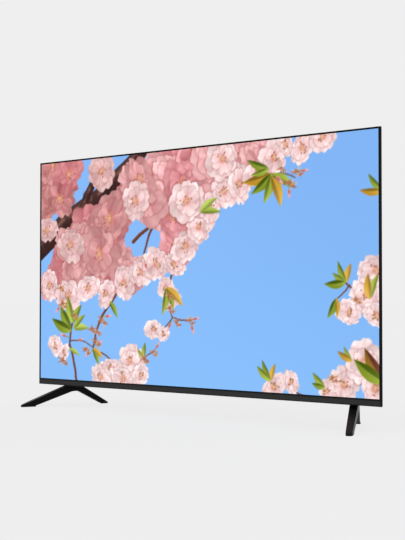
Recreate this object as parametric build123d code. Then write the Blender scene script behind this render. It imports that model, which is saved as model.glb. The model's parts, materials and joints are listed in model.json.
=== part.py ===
from build123d import *
import math
import os

# A 55 inch class television on two splayed legs.
# Each piece is drawn with x across the picture, y backwards from the front face
# and z up from the bottom edge of the set; save() then lifts it on to its legs.

# Picture and outline
active_width = 1209.6
active_height = 680.4
side_border = 4.2
top_border = 4.2
chin_height = 18.0
tv_width = active_width + 2 * side_border
tv_height = chin_height + active_height + top_border
half_width = tv_width / 2
overrun = 5.0
small_sides = 6
round_sides = 12
corner_steps = 3
bay_steps = 2
rounding_steps = 3

# Rim and chin
rim_depth = 9.0
rim_wall = 1.2
rim_lip = 2.0
rim_chamfer = 0.3
front_wall = 1.4
chin_gap = 0.8
chin_rounding = 1.0
chin_top = chin_height - chin_gap
chin_end_gap = 0.2
chin_rib_thickness = 1.2
chin_rib_height = 8.0
chin_rib_reach = 4.0
chin_rib_count = 8

# Panel layers, from the front
glass_gap = 0.3
polariser_thickness = 0.2
glass_thickness = 0.5
cushion_thickness = 0.8
cushion_width = 1.9
glass_low = 11.0
filter_low = 14.0
panel_half_width = half_width - rim_wall - glass_gap
panel_high = tv_height - rim_wall - glass_gap
polariser_inset = 2.3
front_polariser_y = front_wall
filter_y = front_polariser_y + polariser_thickness
tft_y = filter_y + glass_thickness
rear_polariser_y = tft_y + glass_thickness
cushion_y = rear_polariser_y

# Middle frame and optical layers
ledge_thickness = 1.2
middle_gap = 0.2
middle_wall = 0.8
middle_ledge = 2.2
middle_low = 12.7
middle_low_ledge = 4.7
sheet_thickness = 0.3
plate_thickness = 1.5
sheet_gap = 0.2
ledge_y = cushion_y + cushion_thickness
prism_y = ledge_y + ledge_thickness
diffuser_y = prism_y + sheet_thickness
plate_y = diffuser_y + sheet_thickness
flange_y = plate_y + plate_thickness
middle_half_width = half_width - rim_wall - middle_gap
middle_high = tv_height - rim_wall - middle_gap
sheet_half_width = middle_half_width - middle_wall - sheet_gap
sheet_low = middle_low + middle_wall + sheet_gap
sheet_high = middle_high - middle_wall - sheet_gap

# Formed steel tray behind the light
steel = 0.8
flange_width = 8.6
wall_slope_run = 22.0
tray_depth = 22.1
tray_low_front = 22.0
tray_low_back = 40.0
tray_back_y = flange_y + tray_depth
tray_front_half = sheet_half_width - flange_width
tray_back_half = tray_front_half - wall_slope_run
tray_high_front = sheet_high - flange_width
tray_high_back = tray_high_front - wall_slope_run
band_raise = 1.2
band_width = 26.0
band_length_share = 0.86
band_height_shares = (0.66, 0.79, 0.91)
upright_inset = 31.0
upright_x = tray_back_half - upright_inset
upright_low = 105.0
upright_high = 395.0

# Light source
bar_thickness = 1.2
bar_height = 14.0
bar_gap = 8.0
bar_end_margin = 12.0
led_rows = 3
leds_per_row = 6
chip_size = 3.0
chip_thickness = 0.8
lens_radius = 7.5
lens_height = 5.0
lens_taper = 18
lens_pocket = 4.4
lens_pocket_depth = 2.0
lens_sides = 6
reflector_thickness = 0.5
reflector_gap = 1.5
reflector_hole_radius = 8.6
post_base_radius = 4.0
post_tip_radius = 1.2
post_columns = 4
post_rows = 2
bar_y = tray_back_y - steel - bar_thickness
reflector_back_y = bar_y

# Rear cover
cover_wall = 2.4
cover_inset = 0.6
cover_low = 0.8
thin_depth = 33.0
thin_run = 22.0
cover_corner = 3.0
thin_corner = 8.0
bulge_start_y = 20.0
bulge_depth = 78.0
bulge_side_margin = 31.0
bulge_side_run = 33.0
bulge_above_mount = 65.0
bulge_top_run = 40.0
bulge_front_half = half_width - bulge_side_margin
bulge_back_half = bulge_front_half - bulge_side_run
bulge_front_corner = 20.0
bulge_back_corner = 22.0
bulge_rounding = 8.0

# Screw places of the rear cover
screw_head_radius = 3.6
screw_head_height = 2.0
screw_shank_radius = 1.8
screw_hole_radius = 2.0
well_radius = 5.0
well_wall = 2.0
well_floor = 2.8
thin_screw_top_drop = 36.0
thin_screw_top_shares = (-0.42, -0.14, 0.14, 0.42)
thin_screw_side_inset = 45.0
thin_screw_side_height_share = 0.72
well_upper_drop = 35.0
well_side_inset = 40.0
well_side_z = 200.0
well_lower_z = 48.0
well_side_x = bulge_back_half - well_side_inset

# Wall mount, 200 x 200 with M6 threads
mount_pitch = 200.0
mount_drop = 61.3
mount_z = tv_height / 2 - mount_drop
bulge_front_high = mount_z + mount_pitch / 2 + bulge_above_mount
bulge_back_high = bulge_front_high - bulge_top_run
well_upper_z = bulge_back_high - well_upper_drop
mount_thread_radius = 3.0
mount_thread_depth = 25.0
mount_nut_radius = 6.0
nut_sides = 6
mount_nut_clearance = 0.6
mount_dish_radius = 13.0
mount_dish_depth = 3.0
mount_nut_recess = 0.5
bracket_thickness = 1.5
bracket_margin = 22.0
bracket_window_width = 120.0
bracket_window_height = 60.0

# Boards
board_thickness = 1.6
board_lift = 6.2
board_y = tray_back_y + board_lift
board_face_y = board_y + board_thickness
stand_radius = 4.0
stand_inset = 8.0
board_screw_radius = 3.2
board_screw_height = 1.8
board_shank_radius = 1.4
board_shank_hole_radius = 1.5
board_shank_depth = 5.0
main_beyond_speaker = 9.4
main_width = 174.4
main_low = 95.6
main_high = 290.0
power_width = 170.0
power_high = 320.0
timing_half_width = 100.0
timing_low = 62.0
timing_high = 125.0
timing_lift = 3.2
main_middle_z = (main_low + main_high) / 2
power_middle_z = (main_low + power_high) / 2
chip_width = 24.0
chip_height = 1.6
memory_width = 13.0
memory_length = 9.0
memory_pitch = 20.0
sink_width = 46.0
sink_base = 3.0
sink_fin = 1.4
sink_fin_height = 12.0
sink_fin_count = 8
can_width = 34.0
can_length = 26.0
can_height = 5.0
can_wall = 0.4
core_width = 40.0
core_height = 34.0
core_depth = 26.0
coil_width = 26.0
coil_height = 42.0
coil_depth = 20.0
core_pitch = 74.0
capacitor_radius = 9.0
capacitor_length = 30.0
capacitor_pitch = 24.0
small_capacitor_radius = 5.0
small_capacitor_length = 18.0
wifi_inset = 45.0
wifi_x = wifi_inset - bulge_back_half
wifi_z = 305.0
wifi_width = 40.0
wifi_height = 26.0
wifi_can_width = 20.0
wifi_can_height = 18.0
wifi_can_depth = 2.2

# Socket bays
bay_floor_y = 34.0
bay_corner = 4.0
side_bay_width = 62.6
side_bay_low = 104.0
side_bay_high = 272.0
low_bay_inset = 14.4
low_bay_width = 147.0
mains_bay_inset = 90.0
mains_bay_width = 85.0
board_edge_gap = 0.6
low_bay_top = main_low - board_edge_gap - cover_wall
socket_gap = 0.3

# Sockets
shell_wall = 0.5
hdmi_width = 15.0
hdmi_height = 6.2
hdmi_depth = 12.0
hdmi_cut = 2.2
hdmi_side_z = (190.0, 222.0)
hdmi_from_edge = 137.4
usb_width = 13.3
usb_height = 6.1
usb_depth = 14.5
usb_z = (122.0, 150.0)
lan_width = 16.0
lan_height = 13.4
lan_depth = 20.0
lan_mouth_width = 11.9
lan_mouth_height = 8.0
lan_latch_width = 6.0
lan_latch_height = 2.4
lan_mouth_depth = 13.0
lan_from_edge = 33.4
optical_width = 9.8
optical_height = 9.6
optical_depth = 13.5
optical_mouth = 6.2
optical_mouth_cut = 1.2
optical_mouth_depth = 10.0
optical_from_edge = 61.4
aerial_body = 14.0
aerial_depth = 15.0
aerial_radius = 4.76
aerial_reach = 10.0
aerial_collar_radius = 6.5
aerial_from_edge = 93.4
jack_width = 11.0
jack_height = 8.0
jack_depth = 14.0
jack_bore_radius = 1.8
jack_nose_radius = 3.4
jack_bore_depth = 13.0
jack_from_edge = 115.4
inlet_width = 30.0
inlet_height = 15.0
inlet_depth = 22.0
inlet_mouth_width = 15.6
inlet_mouth_height = 7.8
inlet_mouth_depth = 13.0
inlet_from_edge = 133.0
pin_radius = 1.2
pin_pitch = 8.6
pin_length = 10.5
pin_tail = 4.0

# Speakers
speaker_length = 92.0
speaker_bracket_gap = 1.8
speaker_y = 31.5
speaker_width = 38.0
speaker_height = 52.0
speaker_wall = 2.2
speaker_corner = 5.0
speaker_lid_taper = 40
driver_length = 76.0
driver_width = 30.0
driver_rim = 4.0
stadium_share = 0.46
driver_height = 10.0
basket_inset = 2.5
cone_gap = 0.3
cone_thickness = 0.6
cone_rise = 6.5
cone_inset = 7.0
coil_radius = 7.0
coil_thickness = 0.5
coil_length = 7.0
coil_gap = 0.4
magnet_radius = 13.0
magnet_sides = 10
magnet_height = 9.0
grille_slot = 3.0
grille_pitch = 8.2
grille_count = 8
grille_length = 26.0

# Control under the middle
button_y = 20.0
button_radius = 5.0
button_clearance = 0.25
button_recess = 0.3
button_flange_radius = 6.6
button_flange_height = 1.2
button_flange_gap = 0.05
button_stem_radius = 1.6
button_stem_top = 7.0
plunger_radius = 1.7
plunger_length = 2.6
plunger_bore_gap = 0.06
plunger_bore_depth = 2.2
switch_size = 6.2
switch_height = 3.5
control_z = 12.0
control_half_length = 26.0
control_depth = 15.0
control_boss_radius = 2.6
control_boss_x = 20.0
control_thickness = 1.2
receiver_x = -11.0
receiver_width = 6.0
receiver_depth = 4.0
receiver_height = 6.0
window_width = 10.0
window_depth = 4.0
window_height = 3.0
window_flange = 1.2
window_flange_height = 0.8
window_gap = 0.1
window_y = 5.4

# Panel drive films and strips
film_thickness = 0.3
film_width = 42.0
film_count = 6
film_bend_steps = 4
film_start_z = 13.4
film_bend_z = 8.0
film_end_z = 11.6
strip_low = 4.0
strip_high = 15.5
strip_thickness = 1.2
strip_inner_x = 60.0
strip_outer_inset = 139.0
strip_outer_x = half_width - strip_outer_inset
ribbon_thickness = 0.4
ribbon_low = 108.0
ribbon_high = 123.0
ribbon_overlap = 12.0
ribbon_bend = 14.0

# Vents
vent_slot = 5.0
vent_pitch = 15.0
vent_top_count = 22
vent_top_front_y = 46.0
vent_top_back_y = 66.0
vent_low_count = 10
vent_low_z = 66.0
vent_low_height = 34.0
vent_low_pitch = 18.0

# Legs, with heights from the floor
leg_height = 64.0
leg_front_inset = 39.0
leg_front_y = -88.0
leg_rear_inset = 148.0
leg_rear_y = 147.0
leg_nose = 20.0
leg_tail = 8.0
leg_nose_height = 5.6
leg_tail_height = 5.0
leg_crown_start = 135.0
leg_crown_end = 170.0
leg_front_sole = 45.0
leg_rear_sole = 28.0
leg_arch_start = 141.0
leg_arch_end = 168.0
leg_arch_height = 42.0
leg_arch_rise = 1.6
leg_nose_width = 17.5
leg_crown_width = 22.0
leg_tail_width = 9.5
leg_top_rounding = 3.5
leg_rounding_share = 1.35
leg_low_rounding = 1.2
pad_height = 3.0
rear_pad_length = 23.0
rear_pad_width = 13.0
rear_pad_corner = 3.0
spigot_length = 31.0
spigot_width = 11.0
spigot_height = 2.2
spigot_gap = 0.3
leg_screw_pitch = 15.0
leg_screw_radius = 2.0
leg_screw_hole_radius = 2.2
leg_screw_head_radius = 3.9
leg_screw_head_height = 2.6
leg_bore_radius = 4.3
leg_bore_ceiling = 12.0
leg_bracket_steel = 2.0
leg_bracket_inner = 22.0
leg_bracket_outer = 11.0
leg_bracket_rise = 84.0
leg_bracket_reach = 38.0

leg_front_x = half_width - leg_front_inset
leg_rear_x = half_width - leg_rear_inset
leg_span = math.hypot(leg_rear_x - leg_front_x, leg_rear_y - leg_front_y)
leg_turn = math.degrees(math.atan2(leg_rear_y - leg_front_y, leg_rear_x - leg_front_x))
crown_middle = (leg_crown_start + leg_crown_end) / 2
crown_x = leg_front_x + (leg_rear_x - leg_front_x) * crown_middle / leg_span
crown_y = leg_front_y + (leg_rear_y - leg_front_y) * crown_middle / leg_span
leg_top = leg_height + cover_low

# Places across the set: the speakers stand beside the legs' brackets, and the
# boards, recesses and sockets keep their distance from the speakers.
speaker_inner_x = crown_x - leg_bracket_inner - speaker_bracket_gap - speaker_length
speaker_floor_z = cover_low + cover_wall
speaker_middle_x = speaker_inner_x + speaker_length / 2
speaker_middle_y = speaker_y + speaker_width / 2
cone_z = speaker_floor_z + speaker_wall / 2
basket_z = speaker_floor_z + speaker_wall
magnet_z = basket_z + driver_height
well_upper_x = speaker_inner_x + well_side_inset
main_left = -speaker_inner_x - main_beyond_speaker
main_right = main_left + main_width
main_middle_x = (main_left + main_right) / 2
power_right = speaker_inner_x
power_left = power_right - power_width
power_middle_x = (power_left + power_right) / 2
side_bay_right = main_left - board_edge_gap - cover_wall
side_bay_left = side_bay_right - side_bay_width
low_bay_left = main_left + low_bay_inset
low_bay_right = low_bay_left + low_bay_width
mains_bay_right = power_right - mains_bay_inset
mains_bay_left = mains_bay_right - mains_bay_width
well_lower_x = mains_bay_left - well_side_inset
lan_x = main_left + lan_from_edge
optical_x = main_left + optical_from_edge
aerial_x = main_left + aerial_from_edge
jack_x = main_left + jack_from_edge
hdmi_low_x = main_left + hdmi_from_edge
inlet_x = power_right - inlet_from_edge


def rect(low_x, high_x, low_z, high_z):
    """Rectangle by its limits in a sketch plane."""
    middle = Pos((low_x + high_x) / 2, (low_z + high_z) / 2)
    return middle * Rectangle(high_x - low_x, high_z - low_z)


def depth_plane(y):
    """Upright plane across the set at a depth, whose sketch x and y are x and z."""
    return Plane((0, y, 0), x_dir=(1, 0, 0), z_dir=(0, -1, 0))


def slab(outline, front_y, back_y):
    """Outline in x and z, with its thickness along y."""
    return extrude(depth_plane(back_y) * outline, amount=back_y - front_y)


def column(outline, low_z, high_z):
    """Outline in x and y, raised along z."""
    return extrude(Pos(0, 0, low_z) * outline, amount=high_z - low_z)


def bar(outline, low_x, high_x):
    """Outline in y and z, run along x."""
    return extrude(Plane.YZ.offset(low_x) * outline, amount=high_x - low_x)


def taper(front_outline, front_y, back_outline, back_y):
    """Straight loft between two outlines at two depths."""
    sections = [depth_plane(front_y) * front_outline, depth_plane(back_y) * back_outline]
    return loft([section.face() for section in sections], ruled=True)


def rod(x, z, radius, front_y, back_y, sides=small_sides):
    """Round bar along y, with few sides where it is small or hidden."""
    return slab(Pos(x, z) * RegularPolygon(radius, sides), front_y, back_y)


def pillar(x, y, radius, low_z, high_z, sides=small_sides):
    """Round bar along z, with few sides where it is small or hidden."""
    return column(Pos(x, y) * RegularPolygon(radius, sides), low_z, high_z)


def soft_rect(low_x, high_x, low_z, high_z, corner, steps=corner_steps):
    """Rectangle by its limits, with each round corner in a few straight steps."""
    centres = (
        (high_x - corner, high_z - corner, 0),
        (low_x + corner, high_z - corner, 1),
        (low_x + corner, low_z + corner, 2),
        (high_x - corner, low_z + corner, 3),
    )
    points = []
    for centre_x, centre_z, quarter in centres:
        for step in range(steps + 1):
            angle = math.pi / 2 * (quarter + step / steps)
            points.append((centre_x + corner * math.cos(angle), centre_z + corner * math.sin(angle)))
    return make_face(Polyline(*points, close=True))


def taper_through(stations):
    """Straight lofts through outlines that each carry their own depth."""
    sections = [depth_plane(y) * outline for y, outline in stations]
    return loft([section.face() for section in sections], ruled=True)


def group(shapes):
    """Separate solids that share one node."""
    solids = []
    for shape in shapes:
        solids.extend(shape.solids())
    return Compound(solids)


def both_sides(shape):
    """A piece and its mirror image across the middle of the set."""
    return group([shape, mirror(shape, about=Plane.YZ)])


# Rim and chin

def make_bezel_frame():
    outer = rect(-half_width, half_width, 0, tv_height)
    inner_half = half_width - rim_wall
    lip_half = half_width - rim_lip
    inner = rect(-inner_half, inner_half, -overrun, tv_height - rim_wall)
    opening = rect(-lip_half, lip_half, -overrun, tv_height - rim_lip)
    walls = slab(outer - inner, 0, rim_depth)
    lip = slab(outer - opening, 0, front_wall)
    frame = walls + lip
    front_edges = frame.edges().group_by(Axis.Y)[0]
    outside = [edge for edge in front_edges if on_outline(edge)]
    return chamfer(outside, rim_chamfer)


def on_outline(edge):
    """Whether an edge lies on the top or a side of the set's outline."""
    centre = edge.center()
    near = rim_wall / 2
    return abs(abs(centre.X) - half_width) < near or abs(centre.Z - tv_height) < near


def make_chin_cover():
    end = half_width - rim_lip - chin_end_gap
    walls = rect(0, front_wall, 0, chin_top) + rect(0, rim_depth, 0, front_wall)
    corner = walls.vertices().group_by(Axis.X)[0].sort_by(Axis.Y)[0]
    profile = fillet(corner, chin_rounding)
    chin = bar(profile, -end, end)
    rib_outline = Polyline(
        (front_wall, front_wall),
        (front_wall + chin_rib_reach, front_wall),
        (front_wall, front_wall + chin_rib_height),
        close=True,
    )
    rib_face = make_face(rib_outline)
    for index in range(chin_rib_count):
        x = rib_places()[index]
        chin += bar(rib_face, x - chin_rib_thickness / 2, x + chin_rib_thickness / 2)
    return chin - window_hole()


def rib_places():
    """Rib places along the chin, clear of the panel films and the window."""
    inner = strip_outer_x + film_width
    outer = half_width - rim_lip - film_width / 2
    per_side = chin_rib_count // 2
    step = (outer - inner) / (per_side - 1)
    right = [inner + step * index for index in range(per_side)]
    return [-x for x in right] + right


def window_hole():
    gap = window_gap
    hole = rect(
        receiver_x - window_width / 2 - gap,
        receiver_x + window_width / 2 + gap,
        window_y - window_depth / 2 - gap,
        window_y + window_depth / 2 + gap,
    )
    return column(hole, -overrun, front_wall)


# Panel and optics

def panel_sheet(half, low, high, front_y, thickness):
    return slab(rect(-half, half, low, high), front_y, front_y + thickness)


def make_front_polariser():
    half = panel_half_width - glass_gap
    return panel_sheet(half, filter_low + glass_gap, panel_high - glass_gap, front_polariser_y, polariser_thickness)


def make_colour_filter_glass():
    return panel_sheet(panel_half_width, filter_low, panel_high, filter_y, glass_thickness)


def make_tft_glass():
    return panel_sheet(panel_half_width, glass_low, panel_high, tft_y, glass_thickness)


def make_rear_polariser():
    half = panel_half_width - polariser_inset
    low = chin_height - glass_gap
    high = panel_high - polariser_inset
    return panel_sheet(half, low, high, rear_polariser_y, polariser_thickness)


def make_panel_cushions():
    outer_half = panel_half_width - middle_gap
    inner_half = outer_half - cushion_width
    top = panel_high - middle_gap
    low = middle_low + middle_gap
    upper = rect(-outer_half, outer_half, top - cushion_width, top)
    lower = rect(-outer_half, outer_half, low, low + cushion_width)
    side = rect(inner_half, outer_half, low + cushion_width + middle_gap, top - cushion_width - middle_gap)
    back_y = cushion_y + cushion_thickness
    strips = [slab(upper, cushion_y, back_y), slab(lower, cushion_y, back_y)]
    strips.append(both_sides(slab(side, cushion_y, back_y)))
    return group(strips)


def make_middle_frame():
    outer = rect(-middle_half_width, middle_half_width, middle_low, middle_high)
    opening_half = middle_half_width - middle_ledge
    opening = rect(-opening_half, opening_half, middle_low + middle_low_ledge, middle_high - middle_ledge)
    inside_half = middle_half_width - middle_wall
    inside = rect(-inside_half, inside_half, middle_low + middle_wall, middle_high - middle_wall)
    ledge = slab(outer - opening, ledge_y, prism_y)
    wall = slab(outer - inside, ledge_y, flange_y + steel)
    return ledge + wall


def optical_sheet(front_y, thickness):
    return panel_sheet(sheet_half_width, sheet_low, sheet_high, front_y, thickness)


def led_places():
    """Places of the lights, row by row, over the back of the tray."""
    low = tray_low_back + bar_height
    high = tray_high_back - bar_height
    row_step = (high - low) / led_rows
    half = tray_back_half - bar_end_margin
    column_step = 2 * half / leds_per_row
    places = []
    for row in range(led_rows):
        for index in range(leds_per_row):
            x = -half + column_step * (index + 0.5)
            places.append((x, low + row_step * (row + 0.5)))
    return places


def led_row_heights():
    return sorted({z for x, z in led_places()})


def make_led_bars():
    half = tray_back_half - bar_end_margin
    bars = []
    for z in led_row_heights():
        outline = rect(bar_gap / 2, half, z - bar_height / 2, z + bar_height / 2)
        bars.append(both_sides(slab(outline, bar_y, bar_y + bar_thickness)))
    return group(bars)


def make_led_chips():
    chips = []
    for x, z in led_places():
        chips.append(slab(Pos(x, z) * Rectangle(chip_size, chip_size), bar_y - chip_thickness, bar_y))
    return group(chips)


def make_led_lenses():
    lens = extrude(RegularPolygon(lens_radius, lens_sides), amount=lens_height, taper=lens_taper)
    lens -= extrude(Rectangle(lens_pocket, lens_pocket), amount=lens_pocket_depth)
    return group([depth_plane(bar_y) * Pos(x, z, 0) * lens for x, z in led_places()])


def make_reflector_sheet():
    front_half = tray_front_half - reflector_gap
    back_half = tray_back_half - reflector_gap
    low_front = tray_low_front + reflector_gap
    low_back = tray_low_back + reflector_gap
    high_front = tray_high_front - reflector_gap
    high_back = tray_high_back - reflector_gap
    t = reflector_thickness
    outer = taper(
        rect(-front_half, front_half, low_front, high_front), flange_y,
        rect(-back_half, back_half, low_back, high_back), reflector_back_y,
    )
    inner = taper(
        rect(-front_half + t, front_half - t, low_front + t, high_front - t), flange_y,
        rect(-back_half + t, back_half - t, low_back + t, high_back - t), reflector_back_y - t,
    )
    sheet = outer - inner
    holes = [Pos(x, z) * RegularPolygon(reflector_hole_radius, lens_sides) for x, z in led_places()]
    return sheet - slab(Sketch() + holes, reflector_back_y - 2 * t, reflector_back_y + overrun)


def make_diffuser_posts():
    rows = led_row_heights()
    posts = []
    for row in range(post_rows):
        z = (rows[row] + rows[row + 1]) / 2
        for index in range(post_columns):
            x = (index + 0.5 - post_columns / 2) * 2 * tray_back_half / post_columns
            tip = Pos(x, z) * RegularPolygon(post_tip_radius, lens_sides)
            base = Pos(x, z) * RegularPolygon(post_base_radius, lens_sides)
            posts.append(taper(tip, flange_y, base, reflector_back_y - reflector_thickness))
    return group(posts)


# Steel tray and what is fixed to it

def tray_bands(inset, front_y, back_y):
    """Pressed strengthening bands on the back of the tray."""
    half = band_length_share * tray_back_half - inset
    reach = band_width / 2 - inset
    bands = Part()
    for share in band_height_shares:
        z = share * tv_height
        bands += slab(rect(-half, half, z - reach, z + reach), front_y, back_y)
    for side in (-1, 1):
        x = side * upright_x
        outline = rect(x - reach, x + reach, upright_low + inset, upright_high - inset)
        bands += slab(outline, front_y, back_y)
    return bands


def board_stands():
    """Places of the pressed stands: x, z and the height of the board there."""
    inset = stand_inset
    stands = []
    for x in (main_left + inset, main_right - inset):
        for z in (main_low + inset, main_high - inset):
            stands.append((x, z, board_lift))
    for x in (power_left + inset, power_right - inset):
        for z in (main_low + inset, power_high - inset):
            stands.append((x, z, board_lift))
    for x in (-timing_half_width + inset, timing_half_width - inset):
        stands.append((x, timing_low + inset, timing_lift))
    return stands


def make_rear_chassis():
    flange = rect(-sheet_half_width, sheet_half_width, sheet_low, sheet_high)
    front = rect(-tray_front_half, tray_front_half, tray_low_front, tray_high_front)
    back = rect(-tray_back_half, tray_back_half, tray_low_back, tray_high_back)
    t = steel
    front_half = tray_front_half - t
    back_half = tray_back_half - t
    front_inside = rect(-front_half, front_half, tray_low_front + t, tray_high_front - t)
    back_inside = rect(-back_half, back_half, tray_low_back + t, tray_high_back - t)
    form = slab(flange, flange_y, flange_y + t) + taper(front, flange_y, back, tray_back_y)
    form += tray_bands(0, tray_back_y - t, tray_back_y + band_raise)
    hollow = taper(front_inside, flange_y, back_inside, tray_back_y - t)
    hollow += tray_bands(t, tray_back_y - 2 * t, tray_back_y + band_raise - t)
    tray = form - hollow
    for x, z, lift in board_stands():
        stand = rod(x, z, stand_radius, tray_back_y - t, tray_back_y + lift)
        bore = rod(x, z, board_shank_hole_radius, tray_back_y, tray_back_y + lift)
        tray += stand - bore
    return tray


def mount_places():
    half = mount_pitch / 2
    return [(x, mount_z + z) for x in (-half, half) for z in (-half, half)]


def make_wall_mount_bracket():
    half = mount_pitch / 2 + bracket_margin
    corner = bracket_margin / 2
    outline = soft_rect(-half, half, mount_z - half, mount_z + half, corner, bay_steps)
    window = Rectangle(bracket_window_width, bracket_window_height)
    for side in (-1, 1):
        outline -= Pos(0, mount_z + side * mount_pitch / 4) * window
    return slab(outline, tray_back_y, tray_back_y + bracket_thickness)


def make_wall_mount_nuts():
    start_y = tray_back_y + bracket_thickness
    end_y = bulge_depth - mount_nut_recess
    nuts = []
    for x, z in mount_places():
        nut = rod(x, z, mount_nut_radius, start_y, end_y, nut_sides)
        thread = slab(Pos(x, z) * Circle(mount_thread_radius), end_y - mount_thread_depth, end_y + overrun)
        nuts.append(nut - thread)
    return group(nuts)


def leg_bracket():
    """Folded steel foot that ties a leg to the tray."""
    floor_z = cover_low + cover_wall
    t = leg_bracket_steel
    back = tray_back_y + t
    profile = rect(tray_back_y, back, floor_z, leg_bracket_rise)
    profile += rect(tray_back_y, back + leg_bracket_reach, floor_z, floor_z + t)
    inside_corner = profile.vertices().sort_by_distance((back, floor_z + t))[0]
    profile = fillet(inside_corner, t)
    plate = bar(profile, crown_x - leg_bracket_inner, crown_x + leg_bracket_outer)
    for x, y in leg_screw_places():
        plate -= pillar(x, y, leg_screw_radius, floor_z - overrun, floor_z + overrun)
    return plate


def leg_screw_places():
    """Places of the two screws of the right leg, along the leg's own line."""
    along_x = (leg_rear_x - leg_front_x) / leg_span
    along_y = (leg_rear_y - leg_front_y) / leg_span
    reach = leg_screw_pitch / 2
    return [(crown_x + side * reach * along_x, crown_y + side * reach * along_y) for side in (-1, 1)]


# Boards and their parts

def board(left, right, low, high, front_y):
    plate = slab(rect(left, right, low, high), front_y, front_y + board_thickness)
    for x, z, lift in board_stands():
        if left < x < right:
            plate -= rod(x, z, board_shank_hole_radius, front_y - overrun, front_y + overrun)
    return plate


def make_board_screws():
    screws = []
    for x, z, lift in board_stands():
        seat_y = tray_back_y + lift + board_thickness
        shank = rod(x, z, board_shank_radius, seat_y - board_shank_depth, seat_y)
        if lift < board_lift:
            shank = rod(x, z, board_shank_radius, seat_y - timing_lift, seat_y)
        screws.append(shank + rod(x, z, board_screw_radius, seat_y, seat_y + board_screw_height))
    return group(screws)


def on_board(x, z, width, height, depth, lift=0):
    """Block on the rear face of the large boards, centred at x and z."""
    start = board_face_y + lift
    return slab(Pos(x, z) * Rectangle(width, height), start, start + depth)


def make_main_board_chips():
    chips = [on_board(main_middle_x, main_middle_z, chip_width, chip_width, chip_height)]
    for index in range(3):
        z = main_middle_z + (index - 1) * memory_pitch
        x = main_middle_x + sink_width / 2 + memory_width
        chips.append(on_board(x, z, memory_length, memory_width, chip_height))
    return group(chips)


def make_heat_sink():
    sink = on_board(main_middle_x, main_middle_z, sink_width, sink_width, sink_base, chip_height)
    step = (sink_width - sink_fin) / (sink_fin_count - 1)
    for index in range(sink_fin_count):
        x = main_middle_x - sink_width / 2 + sink_fin / 2 + step * index
        sink += on_board(x, main_middle_z, sink_fin, sink_width, sink_fin_height, chip_height + sink_base)
    return sink


def make_shield_can():
    x = aerial_x
    z = main_low + aerial_depth + can_length
    can = on_board(x, z, can_width, can_length, can_height)
    return can - on_board(x, z, can_width - 2 * can_wall, can_length - 2 * can_wall, can_height - can_wall)


def make_transformers():
    pieces = []
    for side in (-1, 1):
        z = power_middle_z + side * core_pitch / 2
        core = on_board(power_middle_x, z, core_width, core_height, core_depth)
        coil = on_board(power_middle_x, z, coil_width, coil_height, coil_depth)
        pieces.append(core + coil)
    return group(pieces)


def make_capacitors():
    pieces = []
    for index in range(3):
        x = power_right - capacitor_pitch
        z = power_middle_z + (index - 1) * capacitor_pitch
        end_y = board_face_y + capacitor_length
        pieces.append(rod(x, z, capacitor_radius, board_face_y, end_y, round_sides))
    for index in range(4):
        x = power_left + capacitor_pitch
        z = power_middle_z + (index - 1.5) * capacitor_pitch
        end_y = board_face_y + small_capacitor_length
        pieces.append(rod(x, z, small_capacitor_radius, board_face_y, end_y))
    return group(pieces)


def make_panel_ribbon():
    """Flat ribbon from the main board down to the timing board."""
    high_y = board_face_y
    low_y = tray_back_y + timing_lift + board_thickness
    start = main_right - ribbon_overlap
    finish = -timing_half_width + ribbon_overlap
    t = ribbon_thickness
    face = make_face(Polyline(
        (start, high_y),
        (main_right + ribbon_bend, high_y),
        (finish - ribbon_overlap - ribbon_bend, low_y),
        (finish, low_y),
        (finish, low_y + t),
        (finish - ribbon_overlap - ribbon_bend, low_y + t),
        (main_right + ribbon_bend, high_y + t),
        (start, high_y + t),
        close=True,
    ))
    return column(face, ribbon_low, ribbon_high)


def make_wifi_module():
    plate = slab(Pos(wifi_x, wifi_z) * Rectangle(wifi_width, wifi_height), tray_back_y, tray_back_y + board_thickness)
    start = tray_back_y + board_thickness
    return plate + slab(Pos(wifi_x, wifi_z) * Rectangle(wifi_can_width, wifi_can_height), start, start + wifi_can_depth)


# Drive films and strips under the glass

def film_places():
    """Middles of the films, shared out over the two strips."""
    per_strip = film_count // 2
    step = (strip_outer_x - strip_inner_x) / per_strip
    right = [strip_inner_x + step * (index + 0.5) for index in range(per_strip)]
    return [-x for x in reversed(right)] + right


def make_panel_films():
    front = tft_y - film_thickness
    back = flange_y + steel
    middle = (back + front) / 2
    outer = film_bend((back - front) / 2, middle)
    inner = film_bend((back - front) / 2 - film_thickness, middle)
    points = [(front, film_start_z)] + outer + [(back, film_end_z), (back - film_thickness, film_end_z)]
    points += list(reversed(inner)) + [(front + film_thickness, film_start_z)]
    profile = make_face(Polyline(*points, close=True))
    return group([bar(profile, x - film_width / 2, x + film_width / 2) for x in film_places()])


def film_bend(radius, middle):
    """Half turn under the glass edge, from the front round to the back."""
    steps = film_bend_steps
    angles = [math.pi * (1 + step / steps) for step in range(steps + 1)]
    return [(middle + radius * math.cos(angle), film_bend_z + radius * math.sin(angle)) for angle in angles]


def make_source_boards():
    start_y = flange_y + steel
    outline = rect(strip_inner_x, strip_outer_x, strip_low, strip_high)
    return both_sides(slab(outline, start_y, start_y + strip_thickness))


# Sockets

def hdmi_outline(shrink=0):
    """Socket mouth with its two cut corners, opening away from the board."""
    outline = Rectangle(hdmi_height - 2 * shrink, hdmi_width - 2 * shrink)
    corners = outline.vertices().group_by(Axis.X)[0]
    return chamfer(corners, hdmi_cut)


def side_socket(outer, inner, depth, z, height):
    """Socket that looks sideways out of the board's left edge."""
    middle = Pos(board_face_y + height / 2, z)
    shell = bar(middle * outer, side_bay_right, side_bay_right + depth)
    return shell - bar(middle * inner, side_bay_right - overrun, side_bay_right + depth - shell_wall)


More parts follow.
